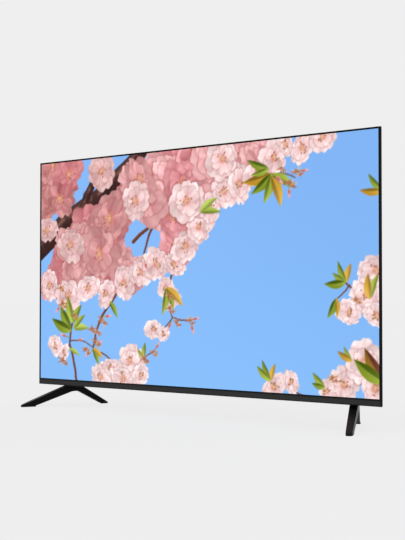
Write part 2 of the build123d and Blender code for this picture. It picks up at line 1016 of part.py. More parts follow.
def low_socket(outer, inner, depth, x, height, reach):
    """Socket that looks down out of the board's lower edge."""
    middle = Pos(x, board_face_y + height / 2)
    shell = column(middle * outer, low_bay_top, low_bay_top + depth)
    return shell - column(middle * inner, low_bay_top - overrun, low_bay_top + reach)


def make_hdmi_sockets():
    sockets = []
    for z in hdmi_side_z:
        sockets.append(side_socket(hdmi_outline(), hdmi_outline(shell_wall), hdmi_depth, z, hdmi_height))
    turn = Rot(0, 0, 90)
    outer = turn * hdmi_outline()
    inner = turn * hdmi_outline(shell_wall)
    sockets.append(low_socket(outer, inner, hdmi_depth, hdmi_low_x, hdmi_height, hdmi_depth - shell_wall))
    return group(sockets)


def make_usb_sockets():
    outer = Rectangle(usb_height, usb_width)
    inner = Rectangle(usb_height - 2 * shell_wall, usb_width - 2 * shell_wall)
    return group([side_socket(outer, inner, usb_depth, z, usb_height) for z in usb_z])


def make_lan_socket():
    outer = Rectangle(lan_width, lan_height)
    mouth = Rectangle(lan_mouth_width, lan_mouth_height)
    latch_middle = (lan_mouth_height + lan_latch_height) / 2
    mouth += Pos(0, latch_middle) * Rectangle(lan_latch_width, lan_latch_height)
    return low_socket(outer, mouth, lan_depth, lan_x, lan_height, lan_mouth_depth)


def make_optical_socket():
    outer = Rectangle(optical_width, optical_height)
    mouth = Rectangle(optical_mouth, optical_mouth)
    mouth = chamfer(mouth.vertices().group_by(Axis.Y)[-1], optical_mouth_cut)
    return low_socket(outer, mouth, optical_depth, optical_x, optical_height, optical_mouth_depth)


def make_aerial_socket():
    middle = Pos(aerial_x, board_face_y + aerial_body / 2)
    body_low = low_bay_top + cover_wall + board_edge_gap
    body = column(middle * Rectangle(aerial_body, aerial_body), body_low, body_low + aerial_depth)
    collar = column(middle * RegularPolygon(aerial_collar_radius, nut_sides), low_bay_top, body_low)
    barrel = column(middle * Circle(aerial_radius), low_bay_top - aerial_reach, low_bay_top)
    return body + collar + barrel


def make_headphone_socket():
    middle = Pos(jack_x, board_face_y + jack_height / 2)
    body_low = low_bay_top + cover_wall + board_edge_gap
    body = column(middle * Rectangle(jack_width, jack_height), body_low, low_bay_top + jack_depth)
    nose = column(middle * RegularPolygon(jack_nose_radius, round_sides), low_bay_top, body_low)
    bore = column(middle * Circle(jack_bore_radius), low_bay_top, low_bay_top + jack_bore_depth)
    return body + nose - bore


def inlet_middle():
    return Pos(inlet_x, board_face_y + inlet_height / 2)


def make_mains_inlet():
    outer = Rectangle(inlet_width, inlet_height)
    mouth = SlotOverall(inlet_mouth_width, inlet_mouth_height)
    middle = inlet_middle()
    body = column(middle * outer, low_bay_top, low_bay_top + inlet_depth)
    body -= column(middle * mouth, low_bay_top - overrun, low_bay_top + inlet_mouth_depth)
    for side in (-1, 1):
        hole = middle * Pos(side * pin_pitch / 2, 0) * RegularPolygon(pin_radius, small_sides)
        body -= column(hole, low_bay_top, low_bay_top + inlet_mouth_depth + pin_tail)
    return body


def make_mains_pins():
    pins = []
    floor_z = low_bay_top + inlet_mouth_depth
    for side in (-1, 1):
        outline = inlet_middle() * Pos(side * pin_pitch / 2, 0) * RegularPolygon(pin_radius, small_sides)
        pins.append(column(outline, floor_z - pin_length, floor_z + pin_tail))
    return group(pins)


# Speakers, drawn on the right


def speaker_outline(length, width, corner):
    """Outline centred on the speaker, with its corners cut."""
    middle_x = speaker_middle_x
    middle_y = speaker_middle_y
    return soft_rect(
        middle_x - length / 2, middle_x + length / 2,
        middle_y - width / 2, middle_y + width / 2,
        corner, bay_steps,
    )


def stadium(length, width):
    """Long outline with nearly round ends."""
    return speaker_outline(length, width, width * stadium_share)


def make_speaker_box():
    t = speaker_wall
    top = speaker_floor_z + speaker_height
    outline = speaker_outline(speaker_length, speaker_width, speaker_corner)
    inside = speaker_outline(speaker_length - 2 * t, speaker_width - 2 * t, speaker_corner - t)
    lid = extrude(Pos(0, 0, top - t) * outline, amount=t, taper=speaker_lid_taper)
    outer = column(outline, speaker_floor_z, top - t) + lid
    box = outer - column(inside, speaker_floor_z + t, top - t)
    return box - column(stadium(driver_length, driver_width), speaker_floor_z - overrun, speaker_floor_z + t)


def basket_form(shrink):
    outline = stadium(driver_length + driver_rim - 2 * shrink, driver_width + driver_rim / 2 - 2 * shrink)
    lean = math.degrees(math.atan(basket_inset / driver_height))
    return extrude(Pos(0, 0, basket_z) * outline, amount=driver_height, taper=lean)


def make_speaker_magnet():
    t = speaker_wall / 2
    rim_outline = stadium(driver_length + driver_rim, driver_width + driver_rim / 2)
    rim_outline -= stadium(driver_length, driver_width)
    rim = column(rim_outline, basket_z, basket_z + t)
    basket = basket_form(0) - basket_form(t)
    window = Pos(speaker_middle_x, speaker_middle_y) * Rectangle(driver_length / 2, driver_width * 2)
    basket -= column(window, basket_z + 2 * t, magnet_z - 2 * t)
    centre = Pos(speaker_middle_x, speaker_middle_y)
    outline = centre * RegularPolygon(magnet_radius, magnet_sides)
    bridge = centre * Rectangle(driver_length - 2 * basket_inset, driver_width - 4 * basket_inset)
    magnet = column(outline, magnet_z - t, magnet_z + magnet_height) + column(bridge, magnet_z - t, magnet_z)
    groove = RegularPolygon(coil_radius + coil_gap, magnet_sides)
    groove -= RegularPolygon(coil_radius - coil_thickness - coil_gap, magnet_sides)
    magnet -= column(centre * groove, magnet_z - t, magnet_z + magnet_height / 2)
    return rim + basket + magnet


def cone_form(shrink, lift):
    outline = stadium(driver_length - 2 * cone_gap - 2 * shrink, driver_width - 2 * cone_gap - 2 * shrink)
    lean = math.degrees(math.atan(cone_inset / cone_rise))
    return extrude(Pos(0, 0, cone_z + lift) * outline, amount=cone_rise, taper=lean)


def make_speaker_cone():
    dish = cone_form(0, 0) - cone_form(cone_thickness, -cone_thickness)
    centre = Pos(speaker_middle_x, speaker_middle_y)
    ring = RegularPolygon(coil_radius, magnet_sides)
    ring -= RegularPolygon(coil_radius - coil_thickness, magnet_sides)
    coil_low = cone_z + cone_rise - cone_thickness
    return dish + column(centre * ring, coil_low, coil_low + coil_length)


# Control under the middle

def make_power_button():
    flange_low = cover_low + cover_wall + button_flange_gap
    cap = pillar(0, button_y, button_radius, cover_low - button_recess, flange_low, round_sides)
    flange = pillar(0, button_y, button_flange_radius, flange_low, flange_low + button_flange_height, round_sides)
    return cap + flange + pillar(0, button_y, button_stem_radius, flange_low, button_stem_top)


def make_switch_plunger():
    return pillar(0, button_y, plunger_radius, button_stem_top, button_stem_top + plunger_length, round_sides)


def make_button_switch():
    low = control_z - switch_height
    body = column(Pos(0, button_y) * Rectangle(switch_size, switch_size), low, control_z)
    bore_radius = plunger_radius + plunger_bore_gap
    return body - pillar(0, button_y, bore_radius, low - overrun, low + plunger_bore_depth, round_sides)


def make_control_board():
    half = control_depth / 2
    outline = rect(-control_half_length, control_half_length, button_y - half, button_y + half)
    return column(outline, control_z, control_z + control_thickness)


def make_remote_receiver():
    front = button_y - control_depth / 2
    outline = rect(receiver_x - receiver_width / 2, receiver_x + receiver_width / 2, front, front + receiver_depth)
    return column(outline, control_z - receiver_height, control_z)


def make_remote_window():
    body = Pos(receiver_x, window_y) * Rectangle(window_width, window_depth)
    flange = Pos(receiver_x, window_y) * Rectangle(window_width + 2 * window_flange, window_depth + window_flange)
    window = column(body, 0, front_wall + window_height)
    return window + column(flange, front_wall, front_wall + window_flange_height)


# Rear cover

def cover_form(wall):
    """Outer form of the cover, or its hollow when given the wall."""
    thin_side = wall * math.hypot(1, thin_run / (thin_depth - rim_depth))
    bulge_rise = bulge_depth - bulge_start_y
    bulge_side = wall * math.hypot(1, (bulge_front_half - bulge_back_half) / bulge_rise)
    bulge_top = wall * math.hypot(1, (bulge_front_high - bulge_back_high) / bulge_rise)
    low = cover_low + wall
    front_half = half_width - cover_inset - thin_side
    back_half = front_half - thin_run
    front_high = tv_height - cover_inset - thin_side
    back_high = front_high - thin_run
    thin_front = soft_rect(-front_half, front_half, low, front_high, cover_corner)
    thin_back = soft_rect(-back_half, back_half, low, back_high, thin_corner)
    thin = taper(thin_front, rim_depth, thin_back, thin_depth - wall)
    wide = bulge_front_half - bulge_side
    narrow = bulge_back_half - bulge_side
    high = bulge_front_high - bulge_top
    back_high = bulge_back_high - bulge_top
    back_y = bulge_depth - wall
    radius = bulge_rounding - wall
    stations = [(bulge_start_y, soft_rect(-wide, wide, low, high, bulge_front_corner))]
    for step in range(rounding_steps + 1):
        angle = math.pi / 2 * step / rounding_steps
        inset = radius * (1 - math.cos(angle))
        half = narrow - inset
        outline = soft_rect(-half, half, low + inset, back_high - inset, bulge_back_corner - inset)
        stations.append((back_y - radius * (1 - math.sin(angle)), outline))
    return thin + taper_through(stations)


def cover_screw_places():
    """Screws of the cover: x, z and the depth of the seat under the head."""
    thin_seat = tray_back_y + well_floor
    top_z = tv_height - thin_screw_top_drop
    places = [(share * tv_width, top_z, thin_seat) for share in thin_screw_top_shares]
    side_x = half_width - thin_screw_side_inset
    side_z = thin_screw_side_height_share * tv_height
    well_seat = tray_back_y + 2 * well_floor
    for side in (-1, 1):
        places.append((side * side_x, side_z, thin_seat))
        places.append((side * well_upper_x, well_upper_z, well_seat))
        places.append((side * well_side_x, well_side_z, well_seat))
        places.append((side * well_lower_x, well_lower_z, well_seat))
    return places


def bay_boxes(wall):
    """Recesses for the plugs, or the same with a wall round them."""
    floor_y = bay_floor_y - wall
    back_y = bulge_depth + overrun
    corner = bay_corner + wall
    left = side_bay_left - wall
    right = side_bay_right + wall
    side_bay = soft_rect(left, right, side_bay_low - wall, side_bay_high + wall, corner, bay_steps)
    boxes = slab(side_bay, floor_y, back_y)
    for left, right in ((low_bay_left, low_bay_right), (mains_bay_left, mains_bay_right)):
        low_bay = soft_rect(left - wall, right + wall, -4 * overrun, low_bay_top + wall, corner, bay_steps)
        boxes += slab(low_bay, floor_y, back_y)
    return boxes


def socket_holes():
    """Holes in the bay walls that the sockets look through."""
    gap = 2 * socket_gap
    wall_start = side_bay_right - socket_gap
    wall_end = side_bay_right + cover_wall + overrun
    holes = Part()
    for z in hdmi_side_z:
        middle = Pos(board_face_y + hdmi_height / 2, z)
        holes += bar(middle * Rectangle(hdmi_height + gap, hdmi_width + gap), wall_start, wall_end)
    for z in usb_z:
        middle = Pos(board_face_y + usb_height / 2, z)
        holes += bar(middle * Rectangle(usb_height + gap, usb_width + gap), wall_start, wall_end)
    low_mouths = (
        (lan_x, lan_width, lan_height),
        (optical_x, optical_width, optical_height),
        (hdmi_low_x, hdmi_width, hdmi_height),
        (inlet_x, inlet_width, inlet_height),
    )
    low_start = low_bay_top - socket_gap
    low_end = low_bay_top + cover_wall + overrun
    for x, width, height in low_mouths:
        middle = Pos(x, board_face_y + height / 2)
        holes += column(middle * Rectangle(width + gap, height + gap), low_start, low_end)
    aerial = Pos(aerial_x, board_face_y + aerial_body / 2)
    holes += column(aerial * RegularPolygon(aerial_collar_radius + socket_gap, nut_sides), low_start, low_end)
    jack = Pos(jack_x, board_face_y + jack_height / 2)
    holes += column(jack * RegularPolygon(jack_nose_radius + socket_gap, round_sides), low_start, low_end)
    return holes


def grille_slots():
    """Sound slots under both speakers."""
    slots = Sketch()
    for index in range(grille_count):
        x = speaker_middle_x + (index - (grille_count - 1) / 2) * grille_pitch
        slots += Pos(x, speaker_middle_y) * Rectangle(grille_slot, grille_length)
        slots += Pos(-x, speaker_middle_y) * Rectangle(grille_slot, grille_length)
    return column(slots, -overrun, cover_low + cover_wall + overrun / 4)


def vent_slots():
    """Air slots through the sloping top of the bulge and low in its back."""
    top = Sketch()
    for index in range(vent_top_count):
        x = (index - (vent_top_count - 1) / 2) * vent_pitch
        top += rect(x - vent_slot / 2, x + vent_slot / 2, vent_top_front_y, vent_top_back_y)
    low = Sketch()
    for index in range(vent_low_count):
        x = (index - (vent_low_count - 1) / 2) * vent_low_pitch
        low += rect(x - vent_slot / 2, x + vent_slot / 2, vent_low_z, vent_low_z + vent_low_height)
    clear_of_mounts = mount_z + mount_pitch / 2 + mount_dish_radius + cover_wall
    upper = column(top, clear_of_mounts, bulge_front_high + overrun)
    return upper + slab(low, bulge_depth - 2 * cover_wall, bulge_depth + overrun)


def spigot_outline(gap):
    half_length = spigot_length / 2 + gap
    half_spigot = spigot_width / 2 + gap
    outline = soft_rect(-half_length, half_length, -half_spigot, half_spigot, spigot_width / 4, bay_steps)
    return Pos(crown_x, crown_y) * Rot(0, 0, leg_turn) * outline


def make_rear_cover():
    solid = cover_form(0) - bay_boxes(0)
    hollow = cover_form(cover_wall) - bay_boxes(cover_wall)
    for x, z in mount_places():
        dish_y = bulge_depth - mount_dish_depth
        solid -= rod(x, z, mount_dish_radius, dish_y, bulge_depth + overrun, round_sides)
        hollow -= rod(x, z, mount_dish_radius + cover_wall, dish_y - cover_wall, bulge_depth)
        solid -= rod(x, z, mount_nut_radius + mount_nut_clearance, dish_y - overrun, bulge_depth, nut_sides)
    for x, z, seat_y in cover_screw_places():
        solid -= rod(x, z, well_radius, seat_y, bulge_depth + overrun, round_sides)
        hollow -= rod(x, z, well_radius + well_wall, tray_back_y, bulge_depth)
        solid -= rod(x, z, screw_hole_radius, tray_back_y - overrun, seat_y)
    for x in (-control_boss_x, control_boss_x):
        hollow -= pillar(x, button_y, control_boss_radius, 0, control_z)
    cover = solid - hollow
    hole_radius = button_radius + button_clearance
    cover -= pillar(0, button_y, hole_radius, -overrun, cover_low + cover_wall + overrun / 4, round_sides)
    spigot_slot = column(spigot_outline(spigot_gap), -overrun, cover_low + cover_wall + overrun / 4)
    cover -= spigot_slot
    cover -= mirror(spigot_slot, about=Plane.YZ)
    return cover - grille_slots() - vent_slots() - socket_holes()


def make_cover_screws():
    screws = []
    for x, z, seat_y in cover_screw_places():
        shank = rod(x, z, screw_shank_radius, tray_back_y, seat_y)
        screws.append(shank + rod(x, z, screw_head_radius, seat_y, seat_y + screw_head_height))
    return group(screws)


# Legs, drawn on the right with s along the leg from its front tip

def on_leg(shape):
    """Turn a shape drawn along x from the front tip into its place."""
    return Pos(leg_front_x, leg_front_y, -leg_height) * Rot(0, 0, leg_turn) * shape


def leg_profile():
    tail = leg_span + leg_tail
    outline = Polyline(
        (leg_arch_start, leg_arch_height),
        (leg_front_sole - leg_nose, pad_height),
        (-leg_nose, pad_height),
        (-leg_nose, leg_nose_height),
        (leg_crown_start, leg_top),
        (leg_crown_end, leg_top),
        (tail, leg_tail_height),
        (tail, pad_height),
        (tail - leg_rear_sole, pad_height),
        (leg_arch_end, leg_arch_height),
    )
    arch_top = ((leg_arch_start + leg_arch_end) / 2, leg_arch_height + leg_arch_rise)
    arch = ThreePointArc((leg_arch_end, leg_arch_height), arch_top, (leg_arch_start, leg_arch_height))
    return make_face(outline + arch)


def leg_plan():
    nose = leg_nose_width / 2
    crown = leg_crown_width / 2
    tail = leg_tail_width / 2
    nose_middle = nose - leg_nose
    end = leg_span + leg_tail
    body = make_face(Polyline(
        (nose_middle, nose),
        (leg_crown_start, crown),
        (leg_crown_end, crown),
        (end, tail),
        (end, -tail),
        (leg_crown_end, -crown),
        (leg_crown_start, -crown),
        (nose_middle, -nose),
        close=True,
    ))
    return body + Pos(nose_middle, 0) * RegularPolygon(nose, round_sides)


def leg_blank():
    side = extrude(Plane.XZ * leg_profile(), amount=leg_crown_width, both=True)
    return side & column(leg_plan(), 0, leg_top)


def make_leg():
    leg = leg_blank()
    sloped = [edge for edge in leg.edges() if is_top_ridge(edge)]
    nose_wall = leg_nose_height - pad_height
    leg = on_leg(fillet(sloped, min(leg_top_rounding, leg_rounding_share * nose_wall)))
    leg += column(spigot_outline(0), cover_low, cover_low + spigot_height)
    for x, y in leg_screw_places():
        leg -= pillar(x, y, leg_bore_radius, -leg_height, cover_low - leg_bore_ceiling, round_sides)
        leg -= pillar(x, y, leg_screw_hole_radius, -leg_height, cover_low + 2 * spigot_height)
    return leg


def is_top_ridge(edge):
    """Whether an edge of the blank runs along the top of either arm or round the nose."""
    for end in (edge @ 0, edge @ 1):
        share = (end.X - leg_crown_end) / (leg_span + leg_tail - leg_crown_end)
        top_line = leg_top - share * (leg_top - leg_tail_height)
        if end.X < leg_crown_start:
            share = (end.X + leg_nose) / (leg_crown_start + leg_nose)
            top_line = leg_nose_height + share * (leg_top - leg_nose_height)
        if abs(end.Z - top_line) > leg_low_rounding / 4:
            return False
    middle = edge.center()
    across = abs(middle.Y) < leg_tail_width / 4 and middle.X > leg_crown_start
    return not across and middle.Z < leg_top - leg_low_rounding


def make_foot_pads():
    front_region = rect(-leg_nose, leg_front_sole - leg_nose, -leg_crown_width, leg_crown_width)
    front = column(leg_plan() & front_region, 0, pad_height)
    tail = leg_span + leg_tail
    half_pad = rear_pad_width / 2
    rear_outline = soft_rect(tail - rear_pad_length, tail, -half_pad, half_pad, rear_pad_corner, bay_steps)
    rear = column(rear_outline, 0, pad_height)
    return both_sides(group([on_leg(front), on_leg(rear)]))


def make_leg_screws():
    screws = []
    seat = cover_low - leg_bore_ceiling
    end = cover_low + cover_wall + leg_bracket_steel
    for x, y in leg_screw_places():
        head = pillar(x, y, leg_screw_head_radius, seat - leg_screw_head_height, seat, round_sides)
        screws.append(head + pillar(x, y, leg_screw_radius, seat, end))
    return both_sides(group(screws))


def build():
    main_board = board(main_left, main_right, main_low, main_high, board_y)
    power_board = board(power_left, power_right, main_low, power_high, board_y)
    timing_y = tray_back_y + timing_lift
    timing_board = board(-timing_half_width, timing_half_width, timing_low, timing_high, timing_y)
    speaker_box = make_speaker_box()
    speaker_magnet = make_speaker_magnet()
    speaker_cone = make_speaker_cone()
    leg = make_leg()
    return {
        "bezel_frame": make_bezel_frame(),
        "chin_cover": make_chin_cover(),
        "front_polariser": make_front_polariser(),
        "colour_filter_glass": make_colour_filter_glass(),
        "tft_glass": make_tft_glass(),
        "rear_polariser": make_rear_polariser(),
        "panel_cushions": make_panel_cushions(),
        "panel_films": make_panel_films(),
        "source_boards": make_source_boards(),
        "middle_frame": make_middle_frame(),
        "prism_sheet": optical_sheet(prism_y, sheet_thickness),
        "diffuser_sheet": optical_sheet(diffuser_y, sheet_thickness),
        "diffuser_plate": optical_sheet(plate_y, plate_thickness),
        "diffuser_posts": make_diffuser_posts(),
        "reflector_sheet": make_reflector_sheet(),
        "led_bars": make_led_bars(),
        "led_chips": make_led_chips(),
        "led_lenses": make_led_lenses(),
        "rear_chassis": make_rear_chassis(),
        "wall_mount_bracket": make_wall_mount_bracket(),
        "wall_mount_nuts": make_wall_mount_nuts(),
        "leg_brackets": both_sides(leg_bracket()),
        "main_board": main_board,
        "main_board_chips": make_main_board_chips(),
        "heat_sink": make_heat_sink(),
        "shield_can": make_shield_can(),
        "power_board": power_board,
        "transformers": make_transformers(),
        "capacitors": make_capacitors(),
        "timing_board": timing_board,
        "panel_ribbon": make_panel_ribbon(),
        "wifi_module": make_wifi_module(),
        "control_board": make_control_board(),
        "remote_receiver": make_remote_receiver(),
        "remote_window": make_remote_window(),
        "hdmi_sockets": make_hdmi_sockets(),
        "usb_sockets": make_usb_sockets(),
        "lan_socket": make_lan_socket(),
        "optical_socket": make_optical_socket(),
        "aerial_socket": make_aerial_socket(),
        "headphone_socket": make_headphone_socket(),
        "mains_inlet": make_mains_inlet(),
        "mains_pins": make_mains_pins(),
        "speaker_box_left": mirror(speaker_box, about=Plane.YZ),
        "speaker_box_right": speaker_box,
        "speaker_magnet_left": mirror(speaker_magnet, about=Plane.YZ),
        "speaker_magnet_right": speaker_magnet,
        "speaker_cone_left": mirror(speaker_cone, about=Plane.YZ),
        "speaker_cone_right": speaker_cone,
        "power_button": make_power_button(),
        "switch_plunger": make_switch_plunger(),
        "button_switch": make_button_switch(),
        "rear_cover": make_rear_cover(),
        "cover_screws": make_cover_screws(),
        "board_screws": make_board_screws(),
        "leg_left": mirror(leg, about=Plane.YZ),
        "leg_right": leg,
        "leg_screws": make_leg_screws(),
        "foot_pads": make_foot_pads(),
    }


def save(parts):
    """Stand the set on the floor, centred on the reach of its feet."""
    feet = parts["foot_pads"].bounding_box()
    legs = parts["leg_right"].bounding_box()
    front_y = min(feet.min.Y, legs.min.Y)
    rear_y = max(feet.max.Y, legs.max.Y)
    stand = Pos(0, -(front_y + rear_y) / 2, leg_height)
    print("front face at y", stand.position.Y)
    os.makedirs("parts", exist_ok=True)
    for name, shape in parts.items():
        export_step(stand * shape, f"parts/{name}.step")


save(build())
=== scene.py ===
import json
import math
import random
from itertools import product

import bmesh
import bpy
import numpy as np
from mathutils import Matrix, Vector


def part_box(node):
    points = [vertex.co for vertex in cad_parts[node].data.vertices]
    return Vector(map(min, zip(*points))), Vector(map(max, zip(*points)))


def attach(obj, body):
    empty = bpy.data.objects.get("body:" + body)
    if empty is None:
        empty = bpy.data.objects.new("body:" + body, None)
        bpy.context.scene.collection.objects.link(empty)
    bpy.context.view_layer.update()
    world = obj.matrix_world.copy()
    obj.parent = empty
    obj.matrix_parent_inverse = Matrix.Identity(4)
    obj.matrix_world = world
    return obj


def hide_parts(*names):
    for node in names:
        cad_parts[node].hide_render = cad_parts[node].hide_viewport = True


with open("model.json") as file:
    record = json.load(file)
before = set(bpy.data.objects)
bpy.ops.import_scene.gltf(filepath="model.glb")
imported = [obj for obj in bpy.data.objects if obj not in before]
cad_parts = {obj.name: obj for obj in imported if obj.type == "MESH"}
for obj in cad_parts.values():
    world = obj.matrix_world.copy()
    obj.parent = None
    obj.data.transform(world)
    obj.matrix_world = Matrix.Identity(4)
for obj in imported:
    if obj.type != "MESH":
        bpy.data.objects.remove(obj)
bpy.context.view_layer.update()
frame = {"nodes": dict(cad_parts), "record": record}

# A flat screen television on two splayed legs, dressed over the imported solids.
# Lengths are in metres in the solids' own frame; the picture is painted in
# millimetres from the lower left corner of its lit area.

MM = 0.001
SET = "set"

# Camera, from the lines of the set's outline
camera_place = (1.9075, -2.4301, 0.3314)
camera_yaw = 0.65832
camera_pitch = 0.02742
camera_roll = 0.00064
camera_lens = 72.0
camera_sensor = 36.0

# Light and ground
ground_colour = (0.862, 0.862, 0.862)
ground_size = 160.0
ground_plain_share = 0.9
sky_level = 0.62
suns = (
    # direction the light comes from, strength, apparent size in degrees
    ("key_sun", (-0.55, -0.75, 0.95), 0.62, 38),
    ("top_sun", (0.25, 0.1, 1.0), 0.42, 60),
    ("side_sun", (0.95, -0.55, 0.35), 0.05, 24),
    ("back_sun", (0.45, 1.0, 0.55), 0.5, 40),
)

# Lit picture
picture_columns = 480
picture_rows = 270
lit_width = 1207.6
lit_height = 678.8
lit_low = 83.0
picture_lift = 0.00002
lit_edge = 0.00005
picture_depth = 0.00016
picture_seed = 41

# Directions of small forms on the solids: across, upward and along their depth
sideways_axes = ((0, 0, 1), (0, 1, 0), (1, 0, 0))
downward_axes = ((1, 0, 0), (0, 1, 0), (0, 0, 1))
mount_axes = ((0, 0, 1), (1, 0, 0), (0, -1, 0))

# Screws and threads, in millimetres; the cross recess as shares of the head's radius
screws = (
    # node, head's height, shank's radius and directions, the last of them the screw's own
    ("cover_screws", 2.0, 1.8, ((0, 0, 1), (1, 0, 0), (0, 1, 0))),
    ("leg_screws", 2.6, 2.0, ((1, 0, 0), (0, -1, 0), (0, 0, -1))),
)
cross_reach = 0.46
cross_half_width = 0.11
aerial_reach = 10.0
aerial_bore = 3.3
aerial_root = 4.42
aerial_crest = 4.76
aerial_thread_pitch = 0.8
mount_bore = 3.0
mount_thread_turns = 9

# Bars in the sockets: the piece, its node and slot, the degrees by which it leans, and its forms.
# A form has its places across and upward in the mouth, then width, height, start and end depth,
# cut corners and share of the nose. An end below 0 counts from the socket's back.
video_contacts_across = [(index - 4.5) * 1.06 for index in range(10)]
network_wires_across = [(index - 3.5) * 1.02 for index in range(8)]
socket_bars = (
    ("video_socket_tongues", "hdmi_sockets", "connector_plastic", 0,
     ([0], [0], 11.4, 1.2, 2.2, -0.4, 0.15, 0.92)),
    ("video_socket_contacts", "hdmi_sockets", "pin_brass", 0,
     (video_contacts_across, [-0.6, 0.6], 0.42, 0.16, 3.2, -2.0, 0.04, 1.0)),
    ("data_socket_tongues", "usb_sockets", "connector_plastic", 0,
     ([0], [1.15], 11.2, 1.8, 1.6, -0.4, 0.2, 0.94)),
    ("data_socket_contacts", "usb_sockets", "pin_brass", 0,
     ([-3.5, -1.0, 1.0, 3.5], [0.25], 1.0, 0.2, 3.0, -3.0, 0.05, 1.0)),
    ("data_socket_springs", "usb_sockets", "zinc_steel", 0,
     ([-3.2, 3.2], [-2.35], 1.9, 0.5, 2.2, 8.0, 0.15, 0.6)),
    ("network_contacts", "lan_socket", "pin_brass", 14,
     (network_wires_across, [-1.5], 0.5, 0.36, 2.4, 12.0, 0.1, 1.0)),
    ("network_lamps", "lan_socket", "chip_resin", 0,
     ([-5.9, 5.9], [4.9], 2.4, 1.8, -0.12, 2.0, 0.25, 1.0)),
    # The door, and two raised lines on it
    ("optical_shutter", "optical_socket", "connector_plastic", 0,
     ([0], [-0.3], 5.6, 5.4, 1.4, 2.3, 0.5, 1.0),
     ([0], [-1.6, 1.2], 3.6, 0.5, 1.1, 1.6, 0.12, 1.0)),
)

# Finishes, in metres or repeats per metre
leg_edge_width = 0.0012
clouds_per_metre = 7.0
spangles_per_metre = 90.0
pads_per_metre = 420.0
tracks_per_cell = 9.0
smears_per_metre = 500.0
# Reach of the scuffed edges with their painted highlight, on plastic and on metal
plastic_wear_and_highlight_reach = 0.0008
metal_wear_and_highlight_reach = 0.0006
film_relief = 0.000004
metal_relief = 0.00001
clear_relief = 0.000002
# Painted shade along the chin strip: a dark line in the gap under the screen and one at its bottom edge
shade_line_sharpness = 4000.0
chin_shade_lines = (0.0723, 0.0055)  # middle and half height of the lower strip


def unit(value):
    """Values held between 0 and 1."""
    return np.clip(value, 0, 1)


def display(red, green, blue):
    """Display colour from the 0 to 255 scale of a colour picker."""
    return np.array([red, green, blue]) / 255.0


def to_linear(colour):
    """Display colour to the light values that Blender works in."""
    colour = unit(colour)
    return np.where(colour > 0.04045, ((colour + 0.055) / 1.055) ** 2.4, colour / 12.92)


def grey(level):
    """Light value of a neutral display grey."""
    return tint(level, level, level)


def tint(red, green, blue):
    """Light value of a display colour."""
    return tuple(float(part) for part in to_linear(display(red, green, blue)))


unlit_colour = (0.002, 0.002, 0.0025)  # of the picture film without its light
dust_colour = tint(150, 146, 138)
# Colour of the painted shade lines at the edges of a strip
shade_line_colour = grey(6)

# Painting of the lit picture: flowering branches against a clear sky

sky_high = display(133, 184, 249)
sky_low = display(134, 189, 250)
petal_pale = display(255, 236, 235)
petal_light = display(246, 206, 205)
petal_mid = display(237, 173, 175)
petal_deep = display(220, 126, 135)
petal_rose = display(204, 102, 114)
petal_shade = display(176, 114, 108)
petal_shadow = display(172, 92, 94)
stamen_gold = display(206, 150, 84)
stamen_pale = display(232, 196, 150)
stamen_tip = display(142, 84, 52)
calyx_red = display(186, 112, 82)
bark_dark = display(70, 42, 40)
bark_light = display(128, 88, 78)
twig_brown = display(116, 66, 48)
leaf_dark = display(94, 114, 30)
leaf_light = display(152, 170, 58)
leaf_gold = display(214, 168, 62)
bud_red = display(196, 110, 96)

petal_count = 5
petal_widest = 0.62  # where a petal is widest, as a share of its length
inner_ring = 0.68  # size of the second ring of petals
stamen_count = 9
golden_angle = 2.39996
edge_soft = 2.6  # width over which the edge of a small form fades
leaf_soft = 2.8  # the same for a leaf
leaf_spread = 0.62  # angle between the leaves of a spray


def blended(first, second, share):
    """What lies between two values or colours."""
    return first * (1 - share) + second * share


class Picture:
    """The lit picture as a grid of display colours."""

    def __init__(self, columns, rows):
        self.u, self.v = np.meshgrid(
            np.linspace(0, lit_width, columns + 1), np.linspace(0, lit_height, rows + 1)
        )
        rise = (self.v / lit_height)[..., None]
        drift = (self.u / lit_width)[..., None]
        self.colour = blended(sky_low, sky_high, rise) + 0.012 * np.sin(3 * drift + 2 * rise)
        self.flowered = np.zeros_like(self.u)
        self.steps = (lit_height / rows, lit_width / columns)

    def window(self, u, v, reach):
        """Slices of the grid round a place, empty where that is outside the picture."""
        spans = []
        for middle, step, count in zip((v, u), self.steps, self.u.shape):
            first = int((middle - reach) / step)
            last = int((middle + reach) / step) + 2
            spans.append(slice(min(max(first, 0), count), min(max(last, 0), count)))
        return tuple(spans)

    def lay(self, area, colour, cover):
        """Lay a colour over an area with a cover from 0 to 1."""
        self.colour[area] = blended(self.colour[area], colour, unit(cover)[..., None])

    def stroke(self, start, end, width_start, width_end, colour, soft=edge_soft, shade=0.0):
        """Straight stroke that may narrow, lighter along its upper side."""
        start = np.array(start, float)
        end = np.array(end, float)
        middle = (start + end) / 2
        along = end - start
        length = max(float(np.hypot(*along)), 1e-6)
        area = self.window(middle[0], middle[1], length / 2 + max(width_start, width_end) + 3 * soft)
        du = self.u[area] - start[0]
        dv = self.v[area] - start[1]
        share = unit((du * along[0] + dv * along[1]) / length ** 2)
        off_u = du - share * along[0]
        off_v = dv - share * along[1]
        away = np.hypot(off_u, off_v)
        half = blended(width_start, width_end, share) / 2
        cover = (half - away) / soft + 0.5
        side = (off_v / np.maximum(half, 0.1))[..., None]
        self.lay(area, colour + shade * side, cover)

    def path(self, points, width_start, width_end, colour, soft=edge_soft, shade=0.0):
        """Stroke along several points."""
        widths = np.linspace(width_start, width_end, len(points))
        for index in range(len(points) - 1):
            ends = (*points[index:index + 2], *widths[index:index + 2])
            self.stroke(*ends, colour, soft, shade)

    def soft_spot(self, u, v, radius, colour, cover):
        """Round spot that fades out at its edge."""
        area = self.window(u, v, radius * 1.6)
        away = np.hypot(self.u[area] - u, self.v[area] - v) / radius
        self.lay(area, colour, cover * unit(1.5 - away))


